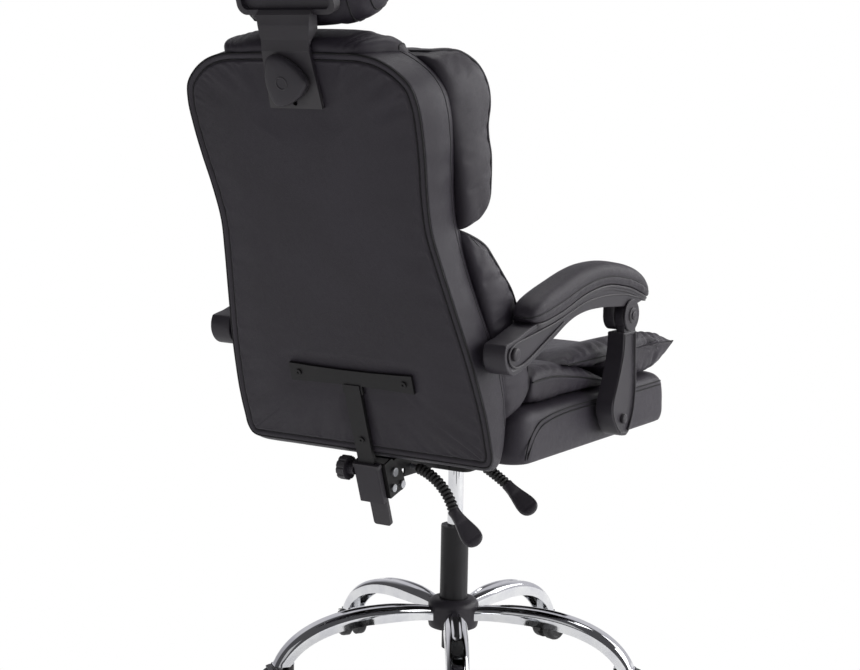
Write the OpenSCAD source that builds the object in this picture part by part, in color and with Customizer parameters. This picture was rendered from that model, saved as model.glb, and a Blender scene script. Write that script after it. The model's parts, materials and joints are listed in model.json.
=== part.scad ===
// Reclining office chair: chrome five-star base on twin-wheel casters, gas lift,
// tilt mechanism, padded seat, tall padded back with headrest, and armrests that
// are carried by the back and steadied by a front link.
// Millimetres. +Z is up, the sitter faces -Y, and the origin is on the floor
// under the axis of the gas lift.

/* [Base] */
// Distance from the lift axis to a caster stem
stem_r = 306; // [296:1:320]
// Turn of the star about the lift axis, in degrees
star_turn = 33.3; // [0:0.1:71]
// Height of the underside of a leg end above the floor
leg_end_z = 57; // [57:0.5:60]
// Width of a leg beside the hub
leg_w = 43; // [40:1:46]
// How much narrower a leg is at its end
leg_taper = 5; // [0:1:8]
// Sheet thickness of a leg
leg_t = 2.6; // [2:0.1:3.5]
// Depth of the leg section at its deepest
leg_depth = 27; // [25:0.5:29]
// Depth of the pressed groove along a leg
groove_d = 2; // [0.5:0.1:3]
// Radius of the steel hub
hub_r = 36; // [34:0.5:37]
// Radius of the plastic hub cover
cover_r = 44; // [42:0.5:48]

/* [Casters] */
// Radius of a caster wheel
wheel_r = 25; // [24:0.5:26]
// Width of a caster wheel
wheel_w = 18; // [16:1:20]
// Distance that an axle trails behind its stem
caster_trail = 24; // [22:1:26]
// Thickness of the web between two wheels
web_w = 12.4; // [12:0.2:15]
// Radius of a caster stem
stem_pin_r = 5; // [4.5:0.1:5.2]
// Radius of a caster axle
axle_r = 4; // [3:0.1:5]

/* [Gas lift] */
// Outer radius of the outer tube
tube_r = 25; // [24:0.5:27]
// Wall of the outer tube
tube_wall = 2; // [1.5:0.1:3]
// Height of the top of the outer tube
tube_top_z = 287; // [275:1:290]
// Radius of the chromed cylinder
cyl_r = 14; // [12:0.5:15]
// Radius of the piston rod
piston_r = 4; // [3:0.5:5]
// Travel of the lift
lift_travel = 100; // [80:1:105]

/* [Mechanism] */
// Width of the mechanism tub
tub_w = 150; // [140:1:160]
// Length of the mechanism tub
tub_l = 176; // [160:1:190]
// Height of the underside of the tub
tub_z = 408; // [407:0.5:410]
// Thickness of the mechanism sheet
mech_t = 3; // [2:0.1:3.5]
// Half width of the channel that carries the back
channel_hw = 26.6; // [24:0.1:26.6]
// Distance of the recline axis behind the lift axis
recline_y = 250; // [246:1:254]
// Height of the recline axis
recline_z = 432; // [430:1:434]

/* [Levers] */
// Distance of the height lever behind the lift axis
height_lever_y = 40; // [36:1:46]
// Distance of the recline lever behind the lift axis
recline_lever_y = 190; // [182:1:194]
// Radius of a lever rod
rod_r = 4; // [3:0.5:4.5]
// Radius of the ribs on a lever sleeve
rib_r = 10; // [9:0.5:11]
// Radius between the ribs
valley_r = 7.6; // [6.5:0.1:8.5]
// Length of a lever paddle
paddle_l = 70; // [60:1:76]
// Width of a lever paddle
paddle_w = 36; // [30:1:40]

/* [Seat] */
// Width of the seat base
seat_w = 494; // [480:1:495]
// Length of the seat base
seat_l = 557; // [550:1:558]
// Y of the middle of the seat base
seat_mid_y = -71.5; // [-74:0.5:-71]
// Height of the underside of the seat base
seat_z = 459; // [459:1:462]
// Thickness of the seat base at its middle
seat_h = 91; // [85:1:92]
// Thickness of the seat board
board_t = 12; // [9:1:15]
// Width of the seat cushion
seat_pad_w = 476; // [460:1:478]
// Height of the seat cushion
seat_pad_h = 61; // [56:1:62]
// Height of the front roll
roll_h = 82; // [75:1:90]

/* [Back] */
// Lean of the back from upright, in degrees
lean = 19.3; // [17:0.1:20]
// Distance of the foot of the rear panel behind the lift axis
back_y = 285; // [283:1:290]
// Height of the foot of the rear panel
back_z = 467; // [465:1:475]
// Scale of the back outline across
back_width_scale = 1; // [0.97:0.005:1]
// Thickness of the rear panel
panel_t = 16; // [14:1:18]
// Depth from the rear face to the front seam of the side
side_d = 78; // [74:1:80]
// Thickness of the back board
back_board_t = 12; // [9:1:15]
// Half width of the foot of the headrest plate
plate_hw = 48.5; // [46:0.5:52]
// Place of the headrest knob up the back
knob_w = 640; // [635:1:645]
// Height of the headrest pad
headrest_h = 155; // [130:1:170]

/* [Back bracket] */
// Half width of the cross plate that holds the back
tee_hw = 120; // [110:1:125]
// Place of the cross plate up the back
tee_w = 140.5; // [135:0.5:150]
// Distance from the middle to a cross plate screw
tee_screw_x = 103; // [95:1:106]
// Width of the back bar
bar_w = 31; // [28:1:32]
// Thickness of the back bar
bar_t = 8; // [6:0.5:8]
// Half width of the bar sleeve
sleeve_hw = 26; // [24:0.5:26.5]

/* [Armrests] */
// Gap between the wider of seat base and back and the inner face of an arm
arm_gap = 1; // [1:0.5:5]
// Thickness of an arm
arm_t = 40; // [36:1:44]
// Y of the rear arm pivot
pivot_a_y = 306; // [302:1:308]
// Height of the rear arm pivot
pivot_a_z = 660; // [656:1:664]
// Y of the lower link pivot
pivot_b_y = -82; // [-84:1:-80]
// Height of the lower link pivot
pivot_b_z = 503; // [500:1:506]
// Y of the front knuckle
pivot_c_y = -93; // [-95:1:-91]
// Height of the front knuckle
pivot_c_z = 682; // [680:1:684]
// Radius of an arm pivot bolt
arm_bolt_r = 6; // [5:0.5:8]
// Half width of an arm pad
arm_pad_hw = 27; // [25:0.5:27.5]
// Thickness of a front link
link_t = 32; // [28:1:34]

/* [Hidden] */
$fn = 64;

leather = "#3b3a3f";
leather_side = "#4a494e";
plastic = "#302f2f";
black_steel = "#262627";
chrome = "#c9ccd1";
zinc = "#b4b7ba";
plywood = "#b58d5e";
rubber = "#1c1c1d";

// Clearances: a running fit, a pin that is fixed, and two faces that rest on each other
run = 0.05;
fixed = 0.03;
rest = 0.3;
eps = 0.01;

// Legs follow a cubic curve in the plane of the lift axis: radius and height of its four points
leg_reach = stem_r + 30;
leg_curve = [[14, 116], [140, 172], [leg_reach - 36, 150], [leg_reach, 50]];
// Share of the full depth along a leg
leg_depths = [[0, 0.55], [0.1, 0.68], [0.2, 0.87], [0.33, 1], [0.5, 0.96], [1, 0.83]];
leg_corner = 12;
leg_rings = 11;
star_legs = 5;
// How each caster has turned about its stem, from straight outwards
caster_turn = [8, 0, -12, -12, 0];
hub_bottom = 101;
hub_top = 150;
cover_top = 157.5;
cover_foot = 86;
notch_w = leg_w + 1;

// Wheel and hood sizes
wheel_in = web_w / 2 + 0.4;
hood_gap = 0.8;
hood_t = 1.8;
hood_r = wheel_r + hood_gap + hood_t;
collar_top = leg_end_z - 0.2;
boss_top = collar_top - 1.8;
socket_r = stem_pin_r + 3.5;
socket_top = 81.3;
socket_bottom = leg_end_z + 1;

// Lift: the rod stands on a thrust bearing at the foot of the tube
tube_foot = 62;
tube_floor = 4;
tube_neck_r = 20;
bearing_h = 5;
cyl_foot = 175.5;
cyl_shoulder = 412;
cyl_top = 440;
cyl_top_r = cyl_r - 0.8;
rod_top = 280;
pin_r = 3;
pin_top = cyl_top + 6;
pin_foot = 429;
valve_travel = 4.2;

// Mechanism
flange_t = 4;
flange_w = tub_w + 40;
flange_l = tub_l + 34;
bolt_x = flange_w / 2 - 10;
bolt_y = flange_l / 2 - 14;
seat_bolt_r = 4;
channel_z = 417;
channel_top = seat_z - 7;
channel_end_r = 14;
stop_r = 35.4;
stop_a = 225;
recline_range = 35;

// Seat: sections in Y and height above the seat base, sides drawn in towards the seam
board_w = seat_w - 74;
board_l = seat_l - 97;
base_top = seat_z + seat_h;
base_levels = [
    [0, 7], [2.5, 2.5], [9, 0], [64, 0], [72, 1.2], [79, 4.5], [84.5, 10], [88.5, 19], [90.5, 31], [91, 48]];
cushion_full_h = 61;
cushion_section = [
    [158, 42], [155, 53], [144, 60], [100, 61], [57, 57], [21, 52], [-19, 44], [-57, 34], [-85, 24],
    [-110, 12], [-120, 6], [-110, 0.8], [-60, 0.4], [30, 0.4], [128, 0.4], [150, 6], [156, 20]];
cushion_seam = [[-120, 6], [-98, 13], [-51, 22], [-9, 30], [32, 36], [89, 43], [158, 42]];
cushion_sides = [[0.06, 238], [0.4, 236.5], [0.68, 232.5], [0.87, 225], [0.97, 210], [1, 180], [1, 60]];
roll_side = [
    [38, 55.6], [34, 58], [20, 63.5], [4, 68], [-22, 73.5], [-54, 77.5], [-87, 80], [-125, 81.5],
    [-226, 82], [-272, 78.5], [-320, 71], [-346, 63.5], [-358, 56.5], [-363, 42], [-354, 22],
    [-328, 7], [-300, 0.6], [-205, 0.6], [-172, 10], [-147, 30], [-115, 38], [-54, 38],
    [-19, 44.6], [21, 52.6]];
roll_middle = [
    [38, 55.6], [34, 58], [20, 60], [4, 61], [-22, 61.5], [-54, 61], [-87, 60], [-125, 58],
    [-226, 49.5], [-272, 44], [-320, 37.5], [-346, 32.5], [-360, 27], [-364, 20], [-357, 11],
    [-332, 3.5], [-300, 0.6], [-205, 0.6], [-172, 10], [-147, 30], [-115, 38], [-54, 38],
    [-19, 44.6], [21, 52.6]];
roll_seam = 55.6;
roll_sides = [[0.08, 237], [0.42, 235.5], [0.7, 231], [0.88, 222], [0.97, 206], [1, 178], [1, 150], [1, 120], [1, 50]];

// Back, in its own frame: x across, w up the panel, n forwards from the rear face
// Each station: w, half width at the rear face, half width at the front seam
outline = [
    [2, 228, 214], [7, 237, 217], [17, 242, 221], [45, 244, 228], [90, 244, 235], [140, 240, 237],
    [200, 233, 227], [250, 225, 217], [300, 217, 208], [350, 209, 202], [405, 202, 200],
    [462, 205, 208], [518, 212, 218], [569, 216, 224], [605, 216, 221], [635, 209, 203],
    [657, 190, 176], [674, 164, 140], [684, 129, 105]];
// The core hangs lower than the rear panel: w, half width, depth from, depth to
core_foot = [[-16, 196, 27, 56], [-12, 208, 21, 66], [-4, 220, 17.5, 73]];
front_n = side_d + rest;
arm_n = -(pivot_a_y - back_y) * cos(lean) + (pivot_a_z - back_z) * sin(lean);
arm_w = (pivot_a_y - back_y) * sin(lean) + (pivot_a_z - back_z) * cos(lean);
hinge_n = -(recline_y - back_y) * cos(lean) + (recline_z - back_z) * sin(lean);
hinge_w = (recline_y - back_y) * sin(lean) + (recline_z - back_z) * cos(lean);

// Bracket under the back
flange_in = channel_hw + 0.4;
flange_out = flange_in + 3.5;
bracket_top = -20;
bracket_foot = -84;
web_t = 3;
bolt_b = [-69.8, 11.6];
bolt_c = [-76.5, 36.8];
knob_axis = [-32, -5];
sleeve_n = -14;

// Headrest plate, its side profile in w and n, and its slot
plate_n = -7;
plate_foot = knob_w - 40;
tray_rise = 56;
tray_w = outline[len(outline) - 1][0] + tray_rise;
plate_side = [
    [plate_foot, plate_n], [tray_w - 50, plate_n], [tray_w - 34, -3], [tray_w - 12, 0],
    [tray_w + 3, 4], [tray_w + 10, 14], [tray_w + 10, 24], [tray_w - 25, 22], [tray_w - 37, 4],
    [tray_w - 42, -0.5], [plate_foot, -0.5]];
plate_edge = [
    [plate_foot, plate_hw], [knob_w - 15, plate_hw - 0.8], [knob_w + 15, plate_hw - 2.5],
    [tray_w - 52, plate_hw - 4.3], [tray_w - 34, plate_hw - 4.5], [tray_w - 21, plate_hw - 2],
    [tray_w - 4, plate_hw], [tray_w + 11, plate_hw + 2]];
tray_n = 14;
tray_h = 104;
slot_r = 4.4;
slot_low = knob_w - 31;
slot_high = knob_w;
clamp_r = 4;
knob_tips = [[23, 49], [-40, 4], [25, -33]];
knob_arc = 75;

// Armrest sections: Y, underside of the pad, top of the pad, share of the full width
pad_stations = [
    [252, 707, 717, 0.42], [248, 704, 727, 0.7], [238, 702.5, 736, 0.9], [216, 704, 746, 1],
    [191, 708, 754, 1], [156, 715.5, 763, 1], [128, 723, 770, 1], [100, 731, 776, 1],
    [66, 738, 781, 1], [28, 742.5, 783, 1], [-11, 743, 782, 1], [-51, 738, 777, 1],
    [-90, 730.5, 770, 1], [-118, 722, 762, 0.99], [-140, 715, 752, 0.95], [-156, 710.5, 741, 0.83],
    [-170, 708.5, 732, 0.62], [-177, 711, 723, 0.38]];
rim_t = 9;
arm_end_r = 33;
knuckle_r = 26;
eye_r = 29;
eye_in = 22.5;
back_hw = max([for (v = outline) v[1]]) * back_width_scale;
arm_x = max(seat_w / 2, back_hw) + arm_gap;
arm_out = arm_x + arm_t;

function sp(v, e) = sign(v) * pow(abs(v), e);
function mid_of(ring) = [for (i = [0:2]) [for (p = ring) p[i]] * [for (p = ring) 1] / len(ring)];
function bez(p, t) =
    pow(1 - t, 3) * p[0] + 3 * t * pow(1 - t, 2) * p[1] + 3 * t * t * (1 - t) * p[2] + pow(t, 3) * p[3];
function bez_dir(p, t) =
    pow(1 - t, 2) * (p[1] - p[0]) + 2 * t * (1 - t) * (p[2] - p[1]) + t * t * (p[3] - p[2]);
function mix(a, b, t) = a + (b - a) * t;
// Stations for both sides of the middle, from right to left
function both(v) = concat([for (q = v) [q[0], -q[1]]], [for (i = [len(v) - 1:-1:0]) v[i]]);

// Closed solid through rings of equal count, with a fan at each end
module loft(rings) {
    m = len(rings);
    n = len(rings[0]);
    points = concat([for (r = rings) each r], [mid_of(rings[0])], [mid_of(rings[m - 1])]);
    sides = [for (i = [0:m - 2]) for (j = [0:n - 1])
        each let (a = i * n + j, b = i * n + (j + 1) % n) [[a, b + n, b], [a, a + n, b + n]]];
    first = [for (j = [0:n - 1]) [m * n, j, (j + 1) % n]];
    last = [for (j = [0:n - 1]) [m * n + 1, (m - 1) * n + (j + 1) % n, (m - 1) * n + j]];
    polyhedron(points, concat(sides, first, last));
}

// Profile in Y and Z carried along X from x0 to x1
module across(x0, x1) {
    translate([x0, 0, 0]) rotate([90, 0, 90]) linear_extrude(x1 - x0) children();
}

// Round bar between two points
module bar(a, b, r) {
    d = b - a;
    translate(a) rotate([0, acos(d[2] / norm(d)), atan2(d[1], d[0])]) cylinder(r = r, h = norm(d));
}

// Block with its upright edges rounded
module round_block(size, r) {
    translate([-size[0] / 2 + r, -size[1] / 2, 0]) cube([size[0] - 2 * r, size[1], size[2]]);
    translate([-size[0] / 2, -size[1] / 2 + r, 0]) cube([size[0], size[1] - 2 * r, size[2]]);
    for (x = [-1, 1]) for (y = [-1, 1])
        translate([x * (size[0] / 2 - r), y * (size[1] / 2 - r), 0]) cylinder(r = r, h = size[2]);
}

// Places a piece modelled in the frame of the back: x, w, n
module on_back() {
    translate([0, back_y, back_z]) rotate([90 - lean, 0, 0]) children();
}

// Disc or bar along X at a place in the frame of the back
module back_pin(w, n, x0, x1, r) {
    translate([x0, w, n]) rotate([0, 90, 0]) cylinder(r = r, h = x1 - x0);
}

// Pin along X in the frame of the chair
module side_pin(y, z, x0, x1, r) {
    translate([x0, y, z]) rotate([0, 90, 0]) cylinder(r = r, h = x1 - x0);
}

// Pieces on the sitter's left are drawn as they are, those on the right are mirrored
module on_side(s) {
    if (s > 0) children();
    else mirror([1, 0, 0]) children();
}

// Base

// Arched section of a leg: outer line from one foot to the other, then the inner line back
function leg_half(a, d, g, r) = concat(
    [[-a, -d]],
    [for (i = [0:3]) [-a + r + r * cos(180 - 30 * i), -r + r * sin(180 - 30 * i)]],
    [[-5, -g]]);
function leg_line(a, d, g, r) = let (h = leg_half(a, d, g, r))
    concat(h, [for (i = [len(h) - 1:-1:0]) [-h[i][0], h[i][1]]]);
function leg_section(t) = let (
    a = leg_w / 2 - leg_taper / 2 * t,
    d = leg_depth * lookup(t, leg_depths),
    g = groove_d * max(0, sin(180 * min(1, max(0, (t - 0.1) / 0.6)))),
    outer = leg_line(a, d, g, leg_corner),
    inner = [for (p = leg_line(a - leg_t, d - leg_t, g, leg_corner - leg_t)) p - [0, leg_t]])
    concat(outer, [for (i = [len(inner) - 1:-1:0]) inner[i]]);
function leg_ring(t) = let (
    p = bez(leg_curve, t),
    d = bez_dir(leg_curve, t) / norm(bez_dir(leg_curve, t)))
    [for (q = leg_section(t)) [q[0], p[0] - d[1] * q[1], p[1] + d[0] * q[1]]];

module leg() {
    rings = [for (i = [0:leg_rings]) leg_ring(i / leg_rings)];
    n = len(rings[0]);
    h = n / 2;
    last = leg_rings * n;
    sides = [for (i = [0:leg_rings - 1]) for (j = [0:n - 1])
        each let (a = i * n + j, b = i * n + (j + 1) % n) [[a, b + n, b], [a, a + n, b + n]]];
    root_cap = [for (j = [0:h - 2]) each [[j, j + 1, n - 2 - j], [j, n - 2 - j, n - 1 - j]]];
    end_cap = [for (j = [0:h - 2])
        each [[last + j, last + n - 2 - j, last + j + 1], [last + j, last + n - 1 - j, last + n - 2 - j]]];
    polyhedron([for (r = rings) each r], concat(sides, root_cap, end_cap));
}

module each_leg() {
    for (k = [0:star_legs - 1]) rotate([0, 0, star_turn + 360 / star_legs * k]) children();
}

module base_star() color(chrome) difference() {
    union() {
        translate([0, 0, hub_bottom]) cylinder(r = hub_r, h = hub_top - hub_bottom);
        each_leg() leg();
    }
    translate([0, 0, hub_bottom - 30]) cylinder(r = tube_r + fixed, h = hub_top - hub_bottom + 70);
    each_leg() translate([-leg_w, stem_r - 80, 0]) cube([2 * leg_w, 160, leg_end_z]);
}

module hub_cover() color(plastic) difference() {
    rotate_extrude() polygon([
        [cover_r - 3.5, cover_foot], [cover_r - 2, cover_foot], [cover_r - 1, cover_foot + 2],
        [cover_r, hub_bottom + 4],
        [cover_r, cover_top - 18], [cover_r + 4.3, cover_top - 15], [cover_r + 4.3, cover_top - 10],
        [cover_r - 1, cover_top - 4.5], [tube_r + 6, cover_top - 0.5], [tube_r + rest, cover_top],
        [tube_r + rest, cover_top - 6], [hub_r - 2, hub_top + rest], [hub_r + 2.5, hub_top + rest],
        [hub_r + 2.5, hub_bottom + 2]]);
    each_leg() translate([-notch_w / 2, 0, hub_bottom - 30])
        cube([notch_w, cover_r + 10, bez(leg_curve, 0.12)[1] - hub_bottom + 31]);
}

module gas_tube() color(black_steel) difference() {
    union() {
        translate([0, 0, hub_bottom - 4]) cylinder(r = tube_r, h = tube_top_z - hub_bottom + 4);
        translate([0, 0, tube_foot]) cylinder(r = tube_neck_r, h = 60);
    }
    translate([0, 0, hub_bottom + 2]) cylinder(r = tube_r - tube_wall, h = tube_top_z);
    translate([0, 0, tube_foot + tube_floor]) cylinder(r = tube_neck_r - tube_wall, h = 60);
    translate([0, 0, tube_foot - 1]) cylinder(r = piston_r + run, h = tube_floor + 2);
}

module tube_bush() color(plastic) difference() {
    union() {
        translate([0, 0, tube_top_z - 60]) cylinder(r = tube_r - tube_wall - fixed, h = 60);
        translate([0, 0, tube_top_z]) cylinder(r = tube_r - 0.5, h = 2);
    }
    translate([0, 0, tube_top_z - 61]) cylinder(r = cyl_r + run, h = 70);
}

module thrust_bearing() color(zinc) translate([0, 0, tube_foot + tube_floor]) difference() {
    union() {
        cylinder(r = 10, h = 1.2);
        cylinder(r = 7, h = bearing_h);
        translate([0, 0, bearing_h - 1.2]) cylinder(r = 10, h = 1.2);
    }
    translate([0, 0, -1]) cylinder(r = piston_r + run, h = bearing_h + 2);
}

module stem_sockets() color(zinc) each_leg() translate([0, stem_r, 0]) difference() {
    union() {
        translate([0, 0, socket_bottom]) cylinder(r = socket_r, h = socket_top - socket_bottom);
        translate([-(leg_w - leg_taper) / 2 + leg_t + rest, -6, socket_bottom + 2])
            cube([leg_w - leg_taper - 2 * leg_t - 2 * rest, 16, 3]);
    }
    translate([0, 0, socket_bottom - 1]) cylinder(r = stem_pin_r + run, h = 40);
}

// Casters

module at_caster(k) {
    rotate([0, 0, star_turn + 360 / star_legs * k]) translate([0, stem_r, 0])
        rotate([0, 0, caster_turn[k]]) children();
}

module hood() difference() {
    union() {
        intersection() {
            side_pin(caster_trail, wheel_r, -wheel_in - wheel_w + 2, wheel_in + wheel_w - 2, hood_r);
            translate([-50, caster_trail - 50, wheel_r - 4]) cube([100, 62, 50]);
        }
        side_pin(caster_trail, wheel_r, -web_w / 2, web_w / 2, 13);
        translate([-web_w / 2, -8, 20]) cube([web_w, caster_trail + 8, 25]);
        translate([0, 0, 42]) cylinder(r = 9.5, h = boss_top - 42);
    }
    for (s = [0, 1]) mirror([s, 0, 0])
        side_pin(caster_trail, wheel_r, web_w / 2, 60, wheel_r + hood_gap);
    side_pin(caster_trail, wheel_r, -50, 50, axle_r + fixed);
    translate([0, 0, 31]) cylinder(r = stem_pin_r + fixed, h = 60);
}

module caster_pins() {
    side_pin(caster_trail, wheel_r, -wheel_in - wheel_w + 1, wheel_in + wheel_w - 1, axle_r);
    translate([0, 0, 31.2]) cylinder(r = stem_pin_r, h = socket_top - 32.2);
    translate([0, 0, boss_top + 0.05]) cylinder(r = 8, h = collar_top - boss_top - 0.05);
}

module caster_frame(k) at_caster(k) {
    color(rubber) hood();
    color(zinc) caster_pins();
}

module wheel(k, s) color(rubber) at_caster(k) translate([0, caster_trail, wheel_r])
    mirror([s < 0 ? 1 : 0, 0, 0]) translate([wheel_in, 0, 0]) rotate([0, 90, 0]) rotate_extrude()
        polygon([
            [axle_r + run, 0], [wheel_r - 1, 0], [wheel_r, 1], [wheel_r, wheel_w - 6],
            [wheel_r - 0.8, wheel_w - 3], [wheel_r - 3, wheel_w - 0.8], [wheel_r - 6, wheel_w],
            [wheel_r - 8, wheel_w - 2], [axle_r + 5, wheel_w - 3], [axle_r + 4, wheel_w - 0.6],
            [axle_r + run, wheel_w - 0.6]]);

// Gas lift

module piston_rod() color(zinc) union() {
    translate([0, 0, tube_foot - 3.3]) cylinder(r = piston_r + 3, h = 3);
    translate([0, 0, tube_foot - 3.3]) cylinder(r = piston_r, h = rod_top - tube_foot + 3.3);
    translate([0, 0, tube_foot + tube_floor + bearing_h + 0.1]) cylinder(r = 9, h = 3);
}

module gas_cylinder() color(chrome) difference() {
    union() {
        translate([0, 0, cyl_foot]) cylinder(r = cyl_r, h = cyl_shoulder - cyl_foot);
        translate([0, 0, cyl_shoulder])
            cylinder(r1 = cyl_r, r2 = cyl_top_r, h = cyl_top - cyl_shoulder);
    }
    translate([0, 0, cyl_foot - 1])
        cylinder(r = piston_r + run, h = rod_top + lift_travel + 6 - cyl_foot);
    translate([0, 0, pin_foot - valve_travel - 0.8]) cylinder(r = pin_r + run, h = 40);
}

module valve_pin() color(zinc) translate([0, 0, pin_foot]) cylinder(r = pin_r, h = pin_top - pin_foot);

// Mechanism under the seat

height_exit = [-tub_w / 2 + mech_t / 2, height_lever_y, tub_z + 8];
recline_exit = [-channel_hw + mech_t / 2, recline_lever_y, recline_z];
tongue_z = pin_top + rest + rod_r;
height_knee = [-34, 14, tongue_z];

module mechanism_tub() color(black_steel) difference() {
    union() {
        difference() {
            translate([0, 0, tub_z]) round_block([tub_w, tub_l, seat_z - flange_t - tub_z], 14);
            translate([0, 0, tub_z + mech_t])
                round_block([tub_w - 2 * mech_t, tub_l - 2 * mech_t, 100], 11);
        }
        translate([0, 0, seat_z - flange_t]) round_block([flange_w, flange_l, flange_t], 12);
        translate([0, 0, tub_z]) cylinder(r = cyl_r + 8, h = cyl_top - tub_z);
    }
    translate([0, 0, tub_z - 1]) cylinder(r = cyl_r + run, h = cyl_shoulder - tub_z + 1 + eps);
    translate([0, 0, cyl_shoulder])
        cylinder(r1 = cyl_r + run, r2 = cyl_top_r + run, h = cyl_top - cyl_shoulder + eps);
    translate(height_exit - [10, 0, 0]) rotate([0, 90, 0])
        cylinder(r = rod_r + 1.1, h = 10 + mech_t / 2 + 0.1);
    bar(height_exit, height_knee, rod_r + 0.9);
    for (x = [-1, 1]) for (y = [-1, 1])
        translate([x * bolt_x, y * bolt_y, seat_z - 30]) cylinder(r = seat_bolt_r + fixed, h = 40);
}

// Ring sector in Y and Z about the recline axis
module arc_slot(r, half, a0, a1) {
    translate([recline_y, recline_z]) difference() {
        circle(r = r + half);
        circle(r = r - half);
        rotate(a0) translate([-200, -400]) square([400, 400]);
        rotate(a1) translate([-200, 0]) square([400, 400]);
    }
}

module recline_channel() color(black_steel) difference() {
    union() {
        for (s = [0, 1]) mirror([s, 0, 0]) across(channel_hw - mech_t, channel_hw) union() {
            translate([tub_l / 2, channel_z])
                square([recline_y - tub_l / 2 - 10, channel_top - channel_z]);
            translate([recline_y, recline_z]) circle(r = channel_end_r);
            polygon([
                [recline_y - 10, channel_top], [recline_y - 10, channel_z],
                [recline_y, recline_z - channel_end_r], [recline_y, recline_z + channel_end_r]]);
        }
        translate([-channel_hw, tub_l / 2, channel_top - mech_t])
            cube([2 * channel_hw, recline_y - tub_l / 2 - 14, mech_t]);
        translate([-channel_hw - 12, tub_l / 2, channel_z - 5])
            cube([2 * channel_hw + 24, mech_t, channel_top - channel_z + 5]);
    }
    side_pin(recline_y, recline_z, -40, 40, 5 + run);
    across(-40, 40) arc_slot(stop_r, 5, stop_a - recline_range - 9, stop_a + 40);
    translate(recline_exit - [10, 0, 0]) rotate([0, 90, 0]) cylinder(r = rod_r + 0.6, h = 20);
}

module seat_bolts() color(zinc)
    for (x = [-1, 1]) for (y = [-1, 1]) translate([x * bolt_x, y * bolt_y, 0]) {
        translate([0, 0, seat_z - flange_t - 5.05]) cylinder(r = 6.5, h = 5);
        translate([0, 0, seat_z - flange_t - 0.05]) cylinder(r = seat_bolt_r, h = flange_t + 10);
    }

module seat_board() color(plywood) difference() {
    translate([0, seat_mid_y, seat_z]) round_block([board_w, board_l, board_t], 40);
    for (x = [-1, 1]) for (y = [-1, 1])
        translate([x * bolt_x, y * bolt_y, seat_z - 1]) cylinder(r = seat_bolt_r + fixed, h = 40);
}

// Levers: an arc in a plane across the chair, from its exit, towards the sitter's right
function lever_point(start, h0, h1, len, s) = let (k = (h1 - h0) / len, h = h0 + k * s,
    r = 180 / PI / k)
    start + [-r * (sin(h) - sin(h0)), 0, r * (cos(h) - cos(h0))];
function lever_dir(h0, h1, len, s) = let (h = h0 + (h1 - h0) * s / len) [-cos(h), 0, -sin(h)];
function lever_up(h0, h1, len, s) = let (h = h0 + (h1 - h0) * s / len) [-sin(h), 0, cos(h)];
function sleeve_ring(p, s, r, count) = [for (i = [0:count - 1])
    lever_point(p[0], p[1], p[2], p[3], s)
    + r * (cos(360 * i / count) * lever_up(p[1], p[2], p[3], s) + sin(360 * i / count) * [0, 1, 0])];

// Exit point, heading down at the exit and at the end, length of the arc, start of the sleeve
height_path = [height_exit, 24, 34, 66, 10];
recline_path = [recline_exit, 4, 74, 121, 14];
sleeve_sides = 10;
// A bend in the rod is a touch thicker than the rod
bend_r = rod_r + 0.3;
rod_press = 0.15;
rib_pitch = 6.8;

// Steel rod bent to the arc
module lever_rod(p) {
    r = 180 / PI / ((p[2] - p[1]) / p[3]);
    translate(p[0] + r * [sin(p[1]), 0, -cos(p[1])]) rotate([90, 0, 0]) rotate([0, 0, 90 + p[1]])
        rotate_extrude(angle = p[2] - p[1]) translate([r, 0]) circle(r = rod_r);
}

// Ribbed sleeve with a bore: two outer rings to a rib, plain ends
module ribbed_sleeve(p) {
    s0 = p[4];
    s1 = p[3] - 6;
    ribs = round((s1 - s0 - 4) / rib_pitch);
    pitch = (s1 - s0 - 4) / ribs;
    outer = concat(
        [[s0, valley_r]],
        [for (i = [0:ribs - 1]) each [[s0 + 2 + pitch * (i + 0.1), valley_r], [s0 + 2 + pitch * (i + 0.6), rib_r]]],
        [[s1 - 1, valley_r], [s1, valley_r]]);
    m = len(outer);
    rings = concat(
        [for (q = outer) sleeve_ring(p, q[0], q[1], sleeve_sides)],
        [for (i = [m - 1:-1:0]) sleeve_ring(p, outer[i][0], rod_r + 0.5, sleeve_sides)]);
    n = sleeve_sides;
    total = len(rings);
    faces = [for (i = [0:total - 1]) for (j = [0:n - 1])
        each let (u = (i + 1) % total, a = i * n + j, b = i * n + (j + 1) % n, c = u * n + j, d = u * n + (j + 1) % n)
            [[a, d, b], [a, c, d]]];
    polyhedron([for (r = rings) each r], faces);
}

// Flat leaf-shaped paddle on a collar at the end of the arc: its own heading, and its turn
// about the line it points along. The collar is cut off square to the rod where the sleeve ends
module paddle(p, h, roll) {
    s = p[3] - 5;
    slant = p[1] + (p[2] - p[1]) * s / p[3] - h;
    difference() {
        translate(lever_point(p[0], p[1], p[2], p[3], s)) rotate([0, -90 - h, 0])
            rotate([0, 0, roll]) union() {
                translate([0, 0, -(rib_r + 1) * abs(sin(slant))])
                    cylinder(r = rib_r + 0.5, h = 14 + (rib_r + 1) * abs(sin(slant)));
                hull() {
                    translate([-5.5, -9, 8]) cube([11, 18, 4]);
                    translate([-6, 0, paddle_l - paddle_w / 2]) rotate([0, 90, 0])
                        cylinder(r = paddle_w / 2 - 3, h = 12, $fn = 32);
                    translate([-3.5, 0, paddle_l - paddle_w / 2]) rotate([0, 90, 0])
                        cylinder(r = paddle_w / 2, h = 7, $fn = 32);
                }
            }
        translate(lever_point(p[0], p[1], p[2], p[3], s - 0.7)) rotate([0, -90 - h - slant, 0]) {
            translate([0, 0, -20]) cylinder(r = 24, h = 20);
            translate([0.15 * sin(slant), 0, -1]) cylinder(r = rod_r + 0.25, h = 7.2);
        }
    }
}

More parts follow.
